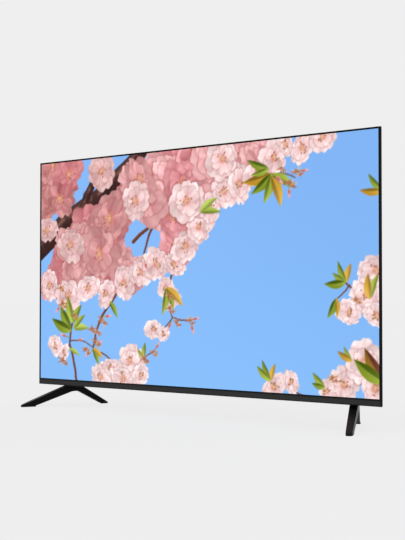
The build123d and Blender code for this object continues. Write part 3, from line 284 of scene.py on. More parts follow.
def wavy(start, end, bend, count, rng):
    """Points from start to end with a bend and small kinks."""
    start = np.array(start, float)
    end = np.array(end, float)
    along = end - start
    across = np.array([-along[1], along[0]])
    points = []
    for index in range(count + 1):
        share = index / count
        kink = rng.uniform(-0.012, 0.012) if 0 < index < count else 0
        points.append(start + along * share + across * (bend * math.sin(math.pi * share) + kink))
    return points


def turned_by(turn, du, dv):
    """Distances along and across a direction."""
    return du * math.cos(turn) + dv * math.sin(turn), dv * math.cos(turn) - du * math.sin(turn)


def reach_point(centre, angle, reach, flat=1.0):
    """Place at a distance and angle from a centre."""
    return centre[0] + reach * math.cos(angle), centre[1] + flat * reach * math.sin(angle)


def petal_edge(share, across, width):
    """Distance inside the side edge of a broad petal, below 0 outside it."""
    past = share - petal_widest
    near = 1 - (past / petal_widest) ** 2
    far = 1 - np.abs(past / (1 - petal_widest)) ** 2.4
    profile = np.sqrt(unit(np.where(past < 0, near, far))) * unit(share * 2.0 + 0.2)
    edge = profile * width / 2 - np.abs(across)
    return np.where((share > 0) & (share < 1), edge, -width)


def paint_petal(picture, centre, plane, turn, length, width, root, tip, light):
    """One broad, softly folded petal in a tilted flower plane."""
    area = picture.window(centre[0], centre[1], length * 1.2)
    du = picture.u[area] - centre[0]
    dv = picture.v[area] - centre[1]
    flat_u, flat_v = (row[0] * du + row[1] * dv for row in plane)
    along, across = turned_by(turn, flat_u, flat_v)
    notch = 1 - 0.13 * np.exp(-((across / (0.1 * width)) ** 2))
    frill = 1 + 0.025 * np.sin(across * (17 / width) + turn * 5)
    share = along / (length * notch * frill)
    edge = petal_edge(share, across, width)
    cover = unit(edge / edge_soft + 0.5)
    below = petal_edge(share * 0.93, across, width * 1.14)
    shadow = unit(below / 9.0 + 0.4) * picture.flowered[area]
    picture.lay(area, petal_shadow, 0.3 * shadow)
    fold = 0.035 * np.sin(across * (7 / width) + turn * 3) + 0.02 * np.sin(across * (19 / width) + turn)
    cup = light * across / width - 0.05 * unit(1 - edge / (0.16 * width)) * unit(share)
    colour = blended(root, tip, unit(share)[..., None] ** 0.75) + (fold + cup)[..., None]
    picture.lay(area, colour, cover)
    picture.flowered[area] = np.maximum(picture.flowered[area], cover)


def paint_blossom(picture, centre, radius, rng, root, tip):
    """Blossom of five broad petals with a second, deeper ring inside."""
    lean = rng.uniform(0, math.pi)
    squash = rng.uniform(0.55, 1.0)
    spin = np.array([[math.cos(lean), math.sin(lean)], [-math.sin(lean), math.cos(lean)]])
    plane = spin.T @ np.diag([1.0, 1.0 / squash]) @ spin
    turn = rng.uniform(0, 2 * math.pi)
    step = 2 * math.pi / petal_count
    for size, offset, deepen in ((1.0, 0.0, 0.0), (inner_ring, step / 2, 0.3)):
        order = list(range(petal_count))
        rng.shuffle(order)
        for index in order:
            angle = turn + offset + index * step + rng.uniform(-0.2, 0.2)
            length = radius * size * rng.uniform(0.86, 1.12)
            width = length * rng.uniform(0.95, 1.25)
            shade = rng.uniform(-0.07, 0.05)
            inner = blended(root, petal_deep, deepen * 0.4) + shade
            outer = blended(tip, root, deepen * 0.35) + shade
            light = rng.uniform(-0.14, 0.14)
            paint_petal(picture, centre, plane, angle, length, width, inner, outer, light)
    heart = blended(petal_deep, stamen_gold, 0.45)
    picture.soft_spot(*centre, radius * 0.17, heart, 0.8)
    facing = rng.uniform(0, 2 * math.pi)
    for _ in range(stamen_count):
        angle = facing + rng.uniform(-2.0, 2.0)
        end = reach_point(centre, angle, radius * rng.uniform(0.14, 0.36))
        picture.stroke(centre, end, 1.2, 0.8, stamen_pale)
        picture.soft_spot(*end, 2.4, stamen_tip, 0.7)


def paint_calyx(picture, centre, radius, rng):
    """Small reddish star that a fallen blossom leaves on its stalk."""
    turn = rng.uniform(0, 2 * math.pi)
    flat = rng.uniform(0.35, 0.9)
    for index in range(petal_count):
        angle = turn + index * 2 * math.pi / petal_count + rng.uniform(-0.45, 0.45)
        end = reach_point(centre, angle, radius * rng.uniform(0.55, 1.1), flat)
        hue = calyx_red + rng.uniform(-0.06, 0.1)
        picture.stroke(centre, end, radius * 0.34, 2.4, hue, soft=3.0, shade=0.1)
    for _ in range(petal_count):
        angle = rng.uniform(0, 2 * math.pi)
        end = reach_point(centre, angle, radius * rng.uniform(0.5, 1.2))
        picture.stroke(centre, end, 1.2, 0.7, stamen_pale, soft=2.8)
    picture.soft_spot(*centre, radius * 0.3, stamen_tip, 0.6)


def paint_leaf(picture, root, turn, length, width, dark, light):
    """Pointed leaf, lighter on one side of its rib."""
    area = picture.window(root[0], root[1], length * 1.1)
    along, across = turned_by(turn, picture.u[area] - root[0], picture.v[area] - root[1])
    share = along / length
    curl = across - 0.05 * length * np.sin(math.pi * unit(share))
    half = width / 2 * np.sin(math.pi * unit(share) ** 0.8) ** 0.9
    cover = unit(np.where((share > 0) & (share < 1), (half - np.abs(curl)) / leaf_soft + 0.5, 0))
    sheen = 0.1 * np.sin(2.6 * share + turn)[..., None]
    picture.lay(area, blended(dark, light, unit(curl / 7.0 + 0.5)[..., None]) + sheen, cover)
    rib = unit(1.3 - np.abs(curl) / 3.4) * cover * (1 - unit(share))
    picture.lay(area, light + 0.08, 0.8 * rib)


def paint_bud(picture, root, turn, length):
    """Closed bud on a short stalk."""
    neck = reach_point(root, turn, length * 0.55)
    tip = reach_point(root, turn, length)
    cup = reach_point(root, turn, length * 0.69)
    picture.stroke(root, neck, 2.0, 2.2, blended(leaf_light, twig_brown, 0.5))
    picture.stroke(neck, tip, length * 0.24, length * 0.13, petal_mid, shade=0.06)
    picture.stroke(neck, cup, length * 0.2, length * 0.16, bud_red)


def paint_sprig(picture, root, turn, size, colours, rng):
    """Spray of leaves at a twig's end."""
    for index, (dark, light) in enumerate(colours):
        angle = turn + (index - (len(colours) - 1) / 2) * leaf_spread + rng.uniform(-0.15, 0.15)
        length = size * rng.uniform(0.75, 1.15)
        paint_leaf(picture, root, angle, length, length * rng.uniform(0.26, 0.36), dark, light)


# Masses of blossom: middle, half width, half height, how many and radius
blossom_masses = (
    (70, 610, 110, 80, 9, 78),
    (200, 470, 130, 110, 14, 84),
    (90, 370, 90, 90, 8, 74),
    (330, 560, 110, 110, 12, 82),
    (330, 400, 120, 90, 11, 78),
    (500, 600, 120, 90, 12, 84),
    (500, 450, 80, 80, 7, 72),
    (650, 600, 90, 90, 9, 80),
    (770, 640, 100, 50, 7, 70),
)
# Single blossoms along the sunlit edge, as place and radius
edge_blossoms = (
    (38, 296, 50), (122, 262, 56), (206, 282, 52), (282, 268, 46), (352, 300, 56),
    (420, 330, 48), (478, 352, 54), (546, 352, 46), (590, 402, 58), (636, 452, 50),
    (676, 500, 56), (726, 548, 50), (778, 570, 56), (840, 592, 52), (892, 630, 54),
    (930, 662, 40), (982, 650, 52), (1046, 672, 44), (24, 470, 52), (132, 420, 60),
    (400, 540, 60), (592, 530, 66), (258, 640, 62), (720, 640, 60), (540, 250, 40), (516, 284, 34),
)
# Places where the sky shows through the masses, as middle and radius
sky_gaps = ((438, 430, 32),)
# Small sprays away from the main mass, as place and radius
spray_blossoms = (
    (300, 36, 62), (378, 66, 54), (352, 14, 56), (262, 14, 46), (420, 26, 40),
    (1106, 30, 54), (1164, 92, 58), (1196, 26, 60), (1056, 12, 36), (890, 14, 50),
    (946, 30, 36), (1172, 262, 52), (1200, 322, 56), (1122, 216, 40), (1202, 210, 48),
    (66, 104, 34), (104, 84, 30), (468, 162, 34), (506, 148, 26),
)
# Fallen blossoms' stars, as place and radius
calyxes = (
    (98, 60, 26), (196, 96, 24), (238, 122, 26), (222, 160, 22), (262, 188, 26),
    (432, 76, 24), (468, 96, 20), (556, 184, 20), (604, 190, 20), (96, 236, 24),
    (148, 200, 20), (942, 560, 24), (964, 588, 22), (916, 600, 18), (1072, 48, 20),
    (1142, 250, 20), (530, 224, 24), (526, 262, 20), (88, 286, 20), (246, 150, 18),
)
# Boughs and twigs: start, end, width at both and bend
main_boughs = (
    ((-20, 400), (250, 560), 70, 56, 0.03),
    ((250, 560), (455, 720), 56, 44, -0.02),
    ((176, 520), (300, 690), 30, 22, 0.05),
)
twigs = (
    ((360, 330), (262, 196), 10, 8, 0.04),
    ((262, 196), (228, 96), 8, 6, -0.05),
    ((228, 96), (330, 44), 5, 4, 0.08),
    ((104, 300), (148, 200), 7, 6, 0.03),
    ((148, 200), (128, 110), 7, 7, -0.04),
    ((128, 110), (160, -10), 8, 9, 0.03),
    ((128, 120), (224, 104), 4, 3, 0.1),
    ((148, 196), (96, 236), 5, 4, 0.05),
    ((130, 112), (92, 60), 4, 3, -0.06),
    ((560, 420), (520, 280), 9, 6, 0.05),
    ((520, 280), (540, 196), 5, 4, -0.06),
    ((540, 196), (480, 150), 4, 3, 0.06),
    ((540, 198), (604, 190), 4, 3, -0.06),
    ((390, 420), (470, 470), 12, 9, 0.03),
    ((470, 470), (430, 372), 9, 6, -0.05),
    ((640, 690), (600, 500), 12, 9, 0.03),
    ((870, 690), (884, 588), 11, 7, 0.05),
    ((884, 588), (960, 572), 4, 3, 0.08),
    ((1215, 232), (1112, 292), 7, 5, 0.03),
    ((1124, 286), (1086, 250), 4, 3, 0.03),
    ((1215, 60), (1130, 90), 6, 4, 0.02),
    ((1000, -10), (900, 40), 5, 3, 0.04),
    ((438, -10), (432, 76), 5, 4, 0.05),
    ((432, 76), (470, 96), 3, 3, 0.05),
)
# Darker and lighter side of a leaf
green = (leaf_dark, leaf_light)
gold = (leaf_gold * 0.75, leaf_gold)
fresh = (leaf_light * 0.8, leaf_light + 0.08)
dusk = (twig_brown, leaf_gold * 0.75)
# Leaf sprays: place, direction, length and the colours of each leaf
leaf_sprays = (
    (140, 176, 1.35, 92, (green, fresh)),
    (134, 150, 2.5, 84, (green, green)),
    (144, 160, 0.35, 72, (fresh, green)),
    (228, 100, -0.9, 56, (green, gold)),
    (126, 96, -0.5, 60, (fresh,)),
    (296, 244, -1.0, 60, (green,)),
    (520, 284, -1.3, 84, (fresh, green, gold)),
    (886, 586, -1.85, 92, (gold, green, fresh, gold, green)),
    (876, 600, 3.05, 80, (green, fresh)),
    (640, 498, 0.3, 70, (green, fresh)),
    (432, 76, 1.9, 50, (green, fresh)),
    (1112, 292, 2.3, 62, (gold, green, fresh, green)),
    (1180, 250, 1.4, 60, (fresh, gold)),
    (1086, 252, -1.9, 54, (green, gold)),
    (1130, 92, 2.4, 50, (fresh, gold)),
    (880, 30, 1.9, 62, (gold, green, fresh)),
    (1050, 20, 2.6, 54, (fresh, green)),
    (1218, 520, 2.6, 62, (green, gold)),
    (1222, 40, 2.3, 92, (dusk, green)),
)
# Buds: place, direction and length
buds = (
    (540, 196, -2.0, 40), (604, 190, -1.2, 40), (128, 130, 2.9, 40), (150, 120, 0.2, 36),
    (230, 96, -2.6, 40), (884, 590, -0.7, 46), (262, 196, 0.1, 40), (430, 372, -1.2, 42),
    (96, 236, -2.4, 40), (232, 108, 0.4, 36),
    (470, 96, 0.9, 36), (604, 190, 0.2, 34), (942, 560, -1.6, 40), (964, 586, 0.1, 36),
)


def mass_places(rng):
    """Blossom places in the masses, spread so that they overlap like scales."""
    places = []
    for middle_u, middle_v, half_u, half_v, count, radius in blossom_masses:
        for index in range(count):
            angle = index * golden_angle + rng.uniform(-0.2, 0.2)
            reach = math.sqrt((index + 0.5) / count)
            u, v = reach_point((middle_u, middle_v), angle, half_u * reach, half_v / half_u)
            places.append((u, v, radius))
    return places


def bough_gap(u, v):
    """Distance of a place from the nearest main bough."""
    nearest = lit_width
    for start, end, *_ in main_boughs:
        along = np.array(end, float) - start
        away = np.array((u, v), float) - start
        share = float(unit(np.dot(away, along) / np.dot(along, along)))
        nearest = min(nearest, float(np.hypot(*(away - share * along))))
    return nearest


def in_sky_gap(u, v, radius):
    """Whether a blossom at a place would close one of the gaps."""
    return any(math.hypot(u - gap_u, v - gap_v) < gap + 0.8 * radius for gap_u, gap_v, gap in sky_gaps)


def paint_boughs(picture, rng):
    """Dark main boughs and the brown twigs."""
    for start, end, begin, finish, bend in main_boughs:
        points = wavy(start, end, bend, 9, rng)
        picture.path(points, begin, finish, bark_dark, soft=3.0, shade=0.06)
        high = [point + np.array([0, begin * 0.2]) for point in points]
        picture.path(high, begin * 0.2, finish * 0.16, bark_light, soft=9.0)
        for _ in range(12):
            point = points[rng.randrange(len(points) - 1)]
            knot = point + np.array([rng.uniform(-20, 20), rng.uniform(-0.3, 0.3) * begin])
            picture.soft_spot(*knot, rng.uniform(4, 10), bark_dark * 0.7, 0.5)
    for start, end, begin, finish, bend in twigs:
        picture.path(wavy(start, end, bend, 6, rng), begin, finish, twig_brown, shade=0.08)


def shade_at(u, v):
    """How deep a place lies in the shade of the upper left, from 0 to 1."""
    return float(unit((v - 300) / 240) * unit((500 - u) / 300))


def paint_picture():
    """Display colours of the whole picture, from the boughs to the buds in front."""
    rng = random.Random(picture_seed)
    picture = Picture(picture_columns, picture_rows)
    paint_boughs(picture, rng)
    places = [place for place in mass_places(rng) if bough_gap(place[0], place[1]) > rng.uniform(58, 74)]
    places = [place for place in places if not in_sky_gap(*place)]
    rng.shuffle(places)
    for u, v, radius in places:
        dusk = shade_at(u, v)
        root = blended(petal_mid, petal_deep, 0.55 + 0.2 * dusk)
        tip = petal_light * (0.5 - dusk * 0.4) + petal_mid * (0.5 - 0.3 * dusk) + petal_shade * dusk * 0.7
        if rng.random() < 0.3:
            root = blended(root, petal_rose, 0.6)
            tip = blended(tip, petal_deep, 0.4)
        tip = tip + rng.uniform(-0.04, 0.04)
        paint_blossom(picture, (u, v), radius * rng.uniform(0.9, 1.15), rng, root, tip)
    for u, v, radius in edge_blossoms:
        tip = blended(blended(petal_pale, petal_light, 0.2), petal_shade, 0.4 * shade_at(u, v))
        paint_blossom(picture, (u, v), radius, rng, blended(petal_mid, petal_light, 0.25), tip)
    for u, v, radius in spray_blossoms:
        paint_blossom(picture, (u, v), radius, rng, blended(petal_mid, petal_light, 0.7), petal_pale)
    for u, v, turn, size, colours in leaf_sprays:
        paint_sprig(picture, (u, v), turn, size, colours, rng)
    for u, v, turn, length in buds:
        paint_bud(picture, (u, v), turn, length)
    for u, v, radius in calyxes:
        paint_calyx(picture, (u, v), radius * 0.8, rng)
        paint_calyx(picture, (u + radius * 0.5, v - radius * 0.4), radius * 0.55, rng)
    return unit(picture.colour)


# Shader nodes


def feed(socket, value):
    """Give an input another node's output or a plain value; a colour gets its full alpha."""
    if isinstance(value, bpy.types.NodeSocket):
        socket.id_data.links.new(value, socket)
    else:
        socket.default_value = (*value, 1.0) if socket.type == "RGBA" else value


def add_node(tree, kind, inputs=None, **settings):
    """Shader node with its settings and its fed inputs."""
    node = tree.nodes.new(kind)
    for key, value in settings.items():
        setattr(node, key, value)
    for key, value in (inputs or {}).items():
        feed(node.inputs[key], value)
    return node


def maths(tree, operation, first, second=0.0, clamp=False):
    """Result of a calculation on sockets or plain numbers."""
    inputs = {0: first, 1: second}
    return add_node(tree, "ShaderNodeMath", inputs, operation=operation, use_clamp=clamp).outputs[0]


def noise(tree, vector, scale, detail, roughness):
    """Cloudy value from 0 to 1."""
    inputs = {"Vector": vector, "Scale": scale, "Detail": detail, "Roughness": roughness}
    return add_node(tree, "ShaderNodeTexNoise", inputs).outputs["Fac"]


def object_place(tree):
    """Place on the piece, in metres."""
    return add_node(tree, "ShaderNodeTexCoord").outputs["Object"]


def height_of(tree, vector):
    """Upward part of a vector."""
    return add_node(tree, "ShaderNodeSeparateXYZ", {0: vector}).outputs["Z"]


# Shader groups, each built once and placed in the materials with its own values


def make_group(name, draw, inputs):
    """Node group with named values for inputs and the outputs that its draw function gives."""
    tree = bpy.data.node_groups.new(name, "ShaderNodeTree")
    for socket, value in inputs.items():
        made = tree.interface.new_socket(socket, in_out="INPUT", socket_type="NodeSocketFloat")
        made.default_value = value
    results = draw(tree, tree.nodes.new("NodeGroupInput").outputs)
    for socket in results:
        tree.interface.new_socket(socket, in_out="OUTPUT", socket_type="NodeSocketFloat")
    end = tree.nodes.new("NodeGroupOutput")
    for socket, source in results.items():
        feed(end.inputs[socket], source)
    return tree


def draw_grain(tree, given):
    """Fine moulded or cast grain: a height for the bump, an uneven roughness and a tone."""
    place = object_place(tree)
    fine = noise(tree, place, given["Grains per metre"], 3.0, 0.6)
    broad = noise(tree, place, clouds_per_metre, 4.0, 0.6)
    both = maths(tree, "ADD", fine, broad)
    uneven = maths(tree, "MULTIPLY", maths(tree, "SUBTRACT", both, 1.0), given["Spread"])
    speck = maths(tree, "MULTIPLY", fine, 0.6)
    cloud = maths(tree, "MULTIPLY", broad, 0.4)
    return {
        "Height": fine,
        "Roughness": maths(tree, "ADD", given["Roughness"], uneven, clamp=True),
        "Tone": maths(tree, "ADD", speck, cloud),
    }


def draw_edge_wear_and_highlight(tree, given):
    """Mask of the outer edges, scuffed and given a painted highlight, broken up by a noise."""
    rounded = add_node(tree, "ShaderNodeBevel", {"Radius": given["Reach"]}, samples=4).outputs["Normal"]
    flat = add_node(tree, "ShaderNodeNewGeometry").outputs["Normal"]
    dot = add_node(tree, "ShaderNodeVectorMath", {0: rounded, 1: flat}, operation="DOT_PRODUCT")
    turned_away = maths(tree, "SUBTRACT", 1.0, dot.outputs["Value"])
    strong = maths(tree, "MULTIPLY", turned_away, 6.0, clamp=True)
    patchy = maths(tree, "MULTIPLY", strong, noise(tree, object_place(tree), 60.0, 4.0, 0.7))
    return {"Mask": maths(tree, "MULTIPLY", patchy, given["Amount"], clamp=True)}


def draw_dust(tree, given):
    """Mask of the thin dust that settles on faces that look up."""
    upward = height_of(tree, add_node(tree, "ShaderNodeNewGeometry").outputs["Normal"])
    upward = maths(tree, "MULTIPLY", upward, 1.4, clamp=True)
    settled = maths(tree, "MULTIPLY", upward, noise(tree, object_place(tree), 34.0, 5.0, 0.6))
    return {"Mask": maths(tree, "MULTIPLY", settled, given["Amount"], clamp=True)}


def draw_brushed(tree, given):
    """Drawn lines of rolled sheet metal, along x, and its faint spangle."""
    place = object_place(tree)
    inputs = {"Vector": place, "Scale": (0.02, 1.0, 1.0)}
    stretched = add_node(tree, "ShaderNodeMapping", inputs).outputs[0]
    lines = noise(tree, stretched, given["Lines per metre"], 2.0, 0.5)
    inputs = {"Vector": place, "Scale": spangles_per_metre}
    spangle = add_node(tree, "ShaderNodeTexVoronoi", inputs).outputs
    weak = maths(tree, "MULTIPLY", maths(tree, "SUBTRACT", lines, 0.5), 0.25)
    flakes = maths(tree, "MULTIPLY", spangle["Distance"], 0.12)
    uneven = maths(tree, "ADD", weak, flakes)
    return {
        "Height": lines,
        "Roughness": maths(tree, "ADD", given["Roughness"], uneven, clamp=True),
        "Tone": spangle["Color"],
    }


def draw_tracks(tree, given):
    """Masks of the copper tracks and pads under a board's lacquer."""
    place = object_place(tree)
    inputs = {"Vector": place, "Scale": given["Tracks per metre"]}
    cells = add_node(tree, "ShaderNodeTexVoronoi", inputs, distance="CHEBYCHEV", feature="F2")
    bands = maths(tree, "FRACT", maths(tree, "MULTIPLY", cells.outputs["Distance"], tracks_per_cell))
    dots = add_node(tree, "ShaderNodeTexVoronoi", {"Vector": place, "Scale": pads_per_metre})
    return {
        "Tracks": maths(tree, "GREATER_THAN", bands, 0.62),
        "Pads": maths(tree, "LESS_THAN", dots.outputs["Distance"], 0.16),
    }


def draw_shade_lines(tree, given):
    """Mask of the painted shade lines along the top and bottom edges of a level strip."""
    away = maths(tree, "SUBTRACT", height_of(tree, object_place(tree)), given["Middle"])
    past = maths(tree, "SUBTRACT", maths(tree, "ABSOLUTE", away), given["Half height"])
    return {"Mask": maths(tree, "MULTIPLY", past, shade_line_sharpness, clamp=True)}


# What draws each group, and its inputs with their first values
group_table = {
    "grain": (draw_grain, {"Grains per metre": 900.0, "Roughness": 0.5, "Spread": 0.1}),
    # Scuffed edges with a painted highlight
    "edge_wear_and_highlight": (draw_edge_wear_and_highlight, {"Reach": 0.001, "Amount": 0.5}),
    "dust": (draw_dust, {"Amount": 0.2}),
    "brushed": (draw_brushed, {"Lines per metre": 1400.0, "Roughness": 0.35}),
    "board_tracks": (draw_tracks, {"Tracks per metre": 260.0}),
    # Painted shade lines at the top and bottom edges of a strip
    "shade_lines": (draw_shade_lines, {"Middle": 0.0, "Half height": 0.01}),
}
groups = {name: make_group(name, *row) for name, row in group_table.items()}


# Materials


class Finish:
    """A material with its shader and short calls to feed it."""

    def __init__(self, name, specular=0.5, ior=1.5, metallic=0.0):
        self.material = bpy.data.materials.new(name)
        self.material.use_nodes = True
        self.tree = self.material.node_tree
        self.shader = self.tree.nodes["Principled BSDF"]
        self.feed(Specular_IOR_Level=specular, IOR=ior, Metallic=metallic)

    def feed(self, **values):
        """Values or sources for the shader's inputs."""
        for name, value in values.items():
            feed(self.shader.inputs[name.replace("_", " ")], value)

    def group(self, name, **values):
        """Outputs of a shader group that is placed with this material's own values."""
        inputs = {socket.replace("_", " "): value for socket, value in values.items()}
        return add_node(self.tree, "ShaderNodeGroup", inputs, node_tree=groups[name]).outputs

    def grain(self, per_metre, roughness, spread):
        """Outputs of the grain, whose uneven roughness the shader takes."""
        made = self.group("grain", Grains_per_metre=per_metre, Roughness=roughness, Spread=spread)
        self.feed(Roughness=made["Roughness"])
        return made

    def mix(self, mask, first, second):
        """Colour that goes from the first to the second by a mask."""
        # The colour sockets of this node come after those for numbers and vectors
        inputs = {0: mask, 6: first, 7: second}
        return add_node(self.tree, "ShaderNodeMix", inputs, data_type="RGBA").outputs[2]

    def cover(self, base, colour, group, **values):
        """Base with a colour laid over it by the mask of a shader group."""
        return self.mix(self.group(group, **values)["Mask"], base, colour)

    def done(self, height, depth, **values):
        """The material, with its last inputs fed and a fine relief of a depth in metres."""
        inputs = {"Height": height, "Strength": 1.0, "Distance": depth}
        self.feed(Normal=add_node(self.tree, "ShaderNodeBump", inputs).outputs["Normal"], **values)
        return self.material


def toned(colour, factor, lift=0.0):
    """Colour made darker or lighter."""
    return tuple(min(1.0, part * factor + lift) for part in colour)


def moulded(name, colour, roughness, spread, grains, depth, scuff_and_highlight=0.25, dust=0.12, specular=0.5, shade_lines=None):
    """Moulded plastic, rubber or lacquer with grain, painted shade lines at a strip's edges, scuffed edges
    with a painted highlight, and thin dust.
    """
    finish = Finish(name, specular=specular)
    grain = finish.grain(grains, roughness, spread)
    base = finish.mix(grain["Tone"], toned(colour, 0.6), toned(colour, 1.4, 0.001))
    # Painted shade along the top and bottom edges of a strip
    if shade_lines:
        base = finish.cover(base, shade_line_colour, "shade_lines", Middle=shade_lines[0], Half_height=shade_lines[1])
    # Edges lighter: scuffing and a painted highlight
    scuffed_and_lit = toned(colour, 1.6, 0.012)
    base = finish.cover(base, scuffed_and_lit, "edge_wear_and_highlight", Reach=plastic_wear_and_highlight_reach, Amount=scuff_and_highlight)
    base = finish.cover(base, dust_colour, "dust", Amount=dust)
    return finish.done(grain["Height"], depth, Base_Color=base)


def sheet_metal(name, colour, roughness, lines=1400.0, scuffed_and_highlit=0.3):
    """Rolled metal with a grain, a faint spangle and edges made brighter by scuffing and a painted
    highlight.
    """
    finish = Finish(name, metallic=1.0)
    brushed = finish.group("brushed", Lines_per_metre=lines, Roughness=roughness)
    base = finish.mix(brushed["Tone"], toned(colour, 0.82), colour)
    # Edges brighter: scuffing and a painted highlight
    scuffed_and_lit = toned(colour, 1.2, 0.05)
    base = finish.cover(base, scuffed_and_lit, "edge_wear_and_highlight", Reach=metal_wear_and_highlight_reach, Amount=scuffed_and_highlit)
    return finish.done(brushed["Height"], metal_relief, Base_Color=base, Roughness=brushed["Roughness"])


def clear_part(name, colour, roughness):
    """Glass or clear plastic with faint smears."""
    finish = Finish(name, ior=1.49)
    grain = finish.grain(smears_per_metre, roughness, 0.06)
    return finish.done(grain["Height"], clear_relief, Transmission_Weight=1.0, Base_Color=colour)


def picture_film():
    """Lit picture under a fine anti-glare film."""
    finish = Finish("picture_film", specular=0.03)
    grain = finish.grain(5200.0, 0.42, 0.08)
    painted = add_node(finish.tree, "ShaderNodeVertexColor", layer_name="picture").outputs["Color"]
    finish.feed(Emission_Color=painted, Emission_Strength=1.0, Base_Color=unlit_colour)
    return finish.done(grain["Height"], film_relief)


def circuit_board():
    """Green lacquer over copper tracks, with tinned pads."""
    finish = Finish("circuit_board")
    finish.grain(1600.0, 0.34, 0.12)
    tracks = finish.group("board_tracks", Tracks_per_metre=95.0)
    lacquer = finish.mix(tracks["Tracks"], tint(16, 74, 46), tint(30, 104, 62))
    tinned = finish.mix(tracks["Pads"], lacquer, tint(190, 190, 184))
    return finish.done(tracks["Tracks"], 0.00003, Base_Color=tinned)


def ribbon_film():
    """Pale flat ribbon with its conductors showing as lines."""
    finish = Finish("ribbon_film")
    finish.grain(900.0, 0.4, 0.1)
    inputs = {"Vector": object_place(finish.tree), "Scale": 320.0}
    stripes = add_node(finish.tree, "ShaderNodeTexWave", inputs, bands_direction="Z").outputs["Fac"]
    striped = finish.mix(stripes, tint(214, 214, 212), tint(238, 238, 236))
    return finish.done(stripes, 0.00005, Base_Color=striped)


# Moulded finishes: colour, roughness and its spread, grains per metre, depth in metres, and what differs
moulded_finishes = {
    "rim_plastic": (grey(31), 0.5, 0.1, 1800.0, 0.00001, {"scuff_and_highlight": 0.2, "dust": 0.06, "specular": 0.005}),
    # The chin strip carries painted shade lines at its top and bottom edges
    "chin_plastic": (
        grey(41), 0.55, 0.12, 1500.0, 0.00002,
        {"scuff_and_highlight": 0.15, "dust": 0.05, "specular": 0.22, "shade_lines": chin_shade_lines},
    ),
    "dark_film": (grey(34), 0.18, 0.05, 3000.0, 0.000003, {"scuff_and_highlight": 0.0, "dust": 0.0}),
    "cushion_foam": (grey(40), 0.92, 0.1, 2600.0, 0.0001, {"scuff_and_highlight": 0.0}),
    "drive_film": (tint(190, 126, 44), 0.3, 0.1, 900.0, 0.00001, {"scuff_and_highlight": 0.1}),
    "frame_plastic": (tint(214, 214, 210), 0.5, 0.1, 1400.0, 0.00002, {}),
    "light_sheet": (tint(240, 240, 237), 0.6, 0.06, 2400.0, 0.00001, {"scuff_and_highlight": 0.0, "dust": 0.0}),
    "reflector_foil": (tint(244, 244, 244), 0.35, 0.08, 700.0, 0.00002, {"scuff_and_highlight": 0.1, "dust": 0.0}),
    "bar_lacquer": (tint(228, 228, 224), 0.4, 0.08, 1800.0, 0.00001, {}),
    "chip_resin": (tint(222, 196, 92), 0.3, 0.06, 1200.0, 0.00001, {"scuff_and_highlight": 0.0}),
    "cover_plastic": (grey(38), 0.5, 0.16, 950.0, 0.0001, {"scuff_and_highlight": 0.5, "dust": 0.16, "specular": 0.4}),
    "leg_plastic": (grey(12), 0.36, 0.08, 1400.0, 0.00001, {"scuff_and_highlight": 0.2, "dust": 0.02, "specular": 0.07}),
    "sole_rubber": (grey(18), 0.85, 0.1, 1600.0, 0.00006, {"scuff_and_highlight": 0.2, "dust": 0.1, "specular": 0.25}),
    "connector_plastic": (grey(28), 0.45, 0.12, 1500.0, 0.00002, {"scuff_and_highlight": 0.3}),
    "chip_epoxy": (grey(34), 0.6, 0.1, 2600.0, 0.00002, {"scuff_and_highlight": 0.2}),
    "coil_tape": (tint(222, 190, 52), 0.35, 0.12, 700.0, 0.00003, {}),
    "can_sleeve": (tint(24, 34, 78), 0.3, 0.1, 800.0, 0.00001, {}),
    "cone_paper": (grey(44), 0.8, 0.12, 1900.0, 0.00008, {"scuff_and_highlight": 0.1}),
    "signal_window": (tint(58, 8, 14), 0.12, 0.05, 900.0, 0.000003, {"scuff_and_highlight": 0.1}),
}
# Metals: light value of the colour, roughness, and what differs
metal_finishes = {
    "zinc_steel": ((0.56, 0.57, 0.58), 0.36, {}),
    "screw_steel": ((0.05, 0.05, 0.052), 0.4, {"scuffed_and_highlit": 0.6}),
    "bright_screw": ((0.7, 0.7, 0.71), 0.25, {}),
    "sink_aluminium": ((0.78, 0.79, 0.8), 0.3, {"lines": 1100.0}),
    "magnet_steel": ((0.25, 0.25, 0.26), 0.42, {}),
    "pin_brass": ((0.82, 0.68, 0.36), 0.24, {}),
}


def make_finishes():
    """One material for each slot of the record."""
    made = {
        "picture_film": picture_film(),
        "panel_glass": clear_part("panel_glass", (0.86, 0.92, 0.92), 0.04),
        "clear_lens": clear_part("clear_lens", (0.96, 0.97, 0.97), 0.06),
        "circuit_board": circuit_board(),
        "ribbon_film": ribbon_film(),
    }
    for name, (*values, own) in moulded_finishes.items():
        made[name] = moulded(name, *values, **own)
    for name, (*values, own) in metal_finishes.items():
        made[name] = sheet_metal(name, *values, **own)
    return made


finishes = make_finishes()


def dress_nodes():
    """Give every solid the finish of its slot."""
    slots = {row["node"]: row["material_slot"] for row in frame["record"]["subparts"]}
    for name, node_object in frame["nodes"].items():
        if name != "front_polariser":
            node_object.data.materials.clear()
            node_object.data.materials.append(finishes[slots[name]])


def soften_leg(name):
    """Rounded edges on a leg, without touching its own mesh."""
    leg = frame["nodes"][name]
    leg.modifiers.new("weld", "WELD").merge_threshold = 0.00002
    bevel = leg.modifiers.new("soft_edges", "BEVEL")
    bevel.width = leg_edge_width
    bevel.segments = 2
    bevel.limit_method = "ANGLE"
    bevel.angle_limit = math.radians(40)


def add_object(name, data):
    """Object in the scene's own collection."""
    made = bpy.data.objects.new(name, data)
    bpy.context.scene.collection.objects.link(made)
    return made


def add_piece(name, mesh, slot, stands_for=None):
    """Piece with its mesh, in its slot's finish and riding on the set."""
    piece = add_object(name, mesh)
    mesh.materials.append(finishes[slot])
    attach(piece, SET)
    if stands_for:
        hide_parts(stands_for)


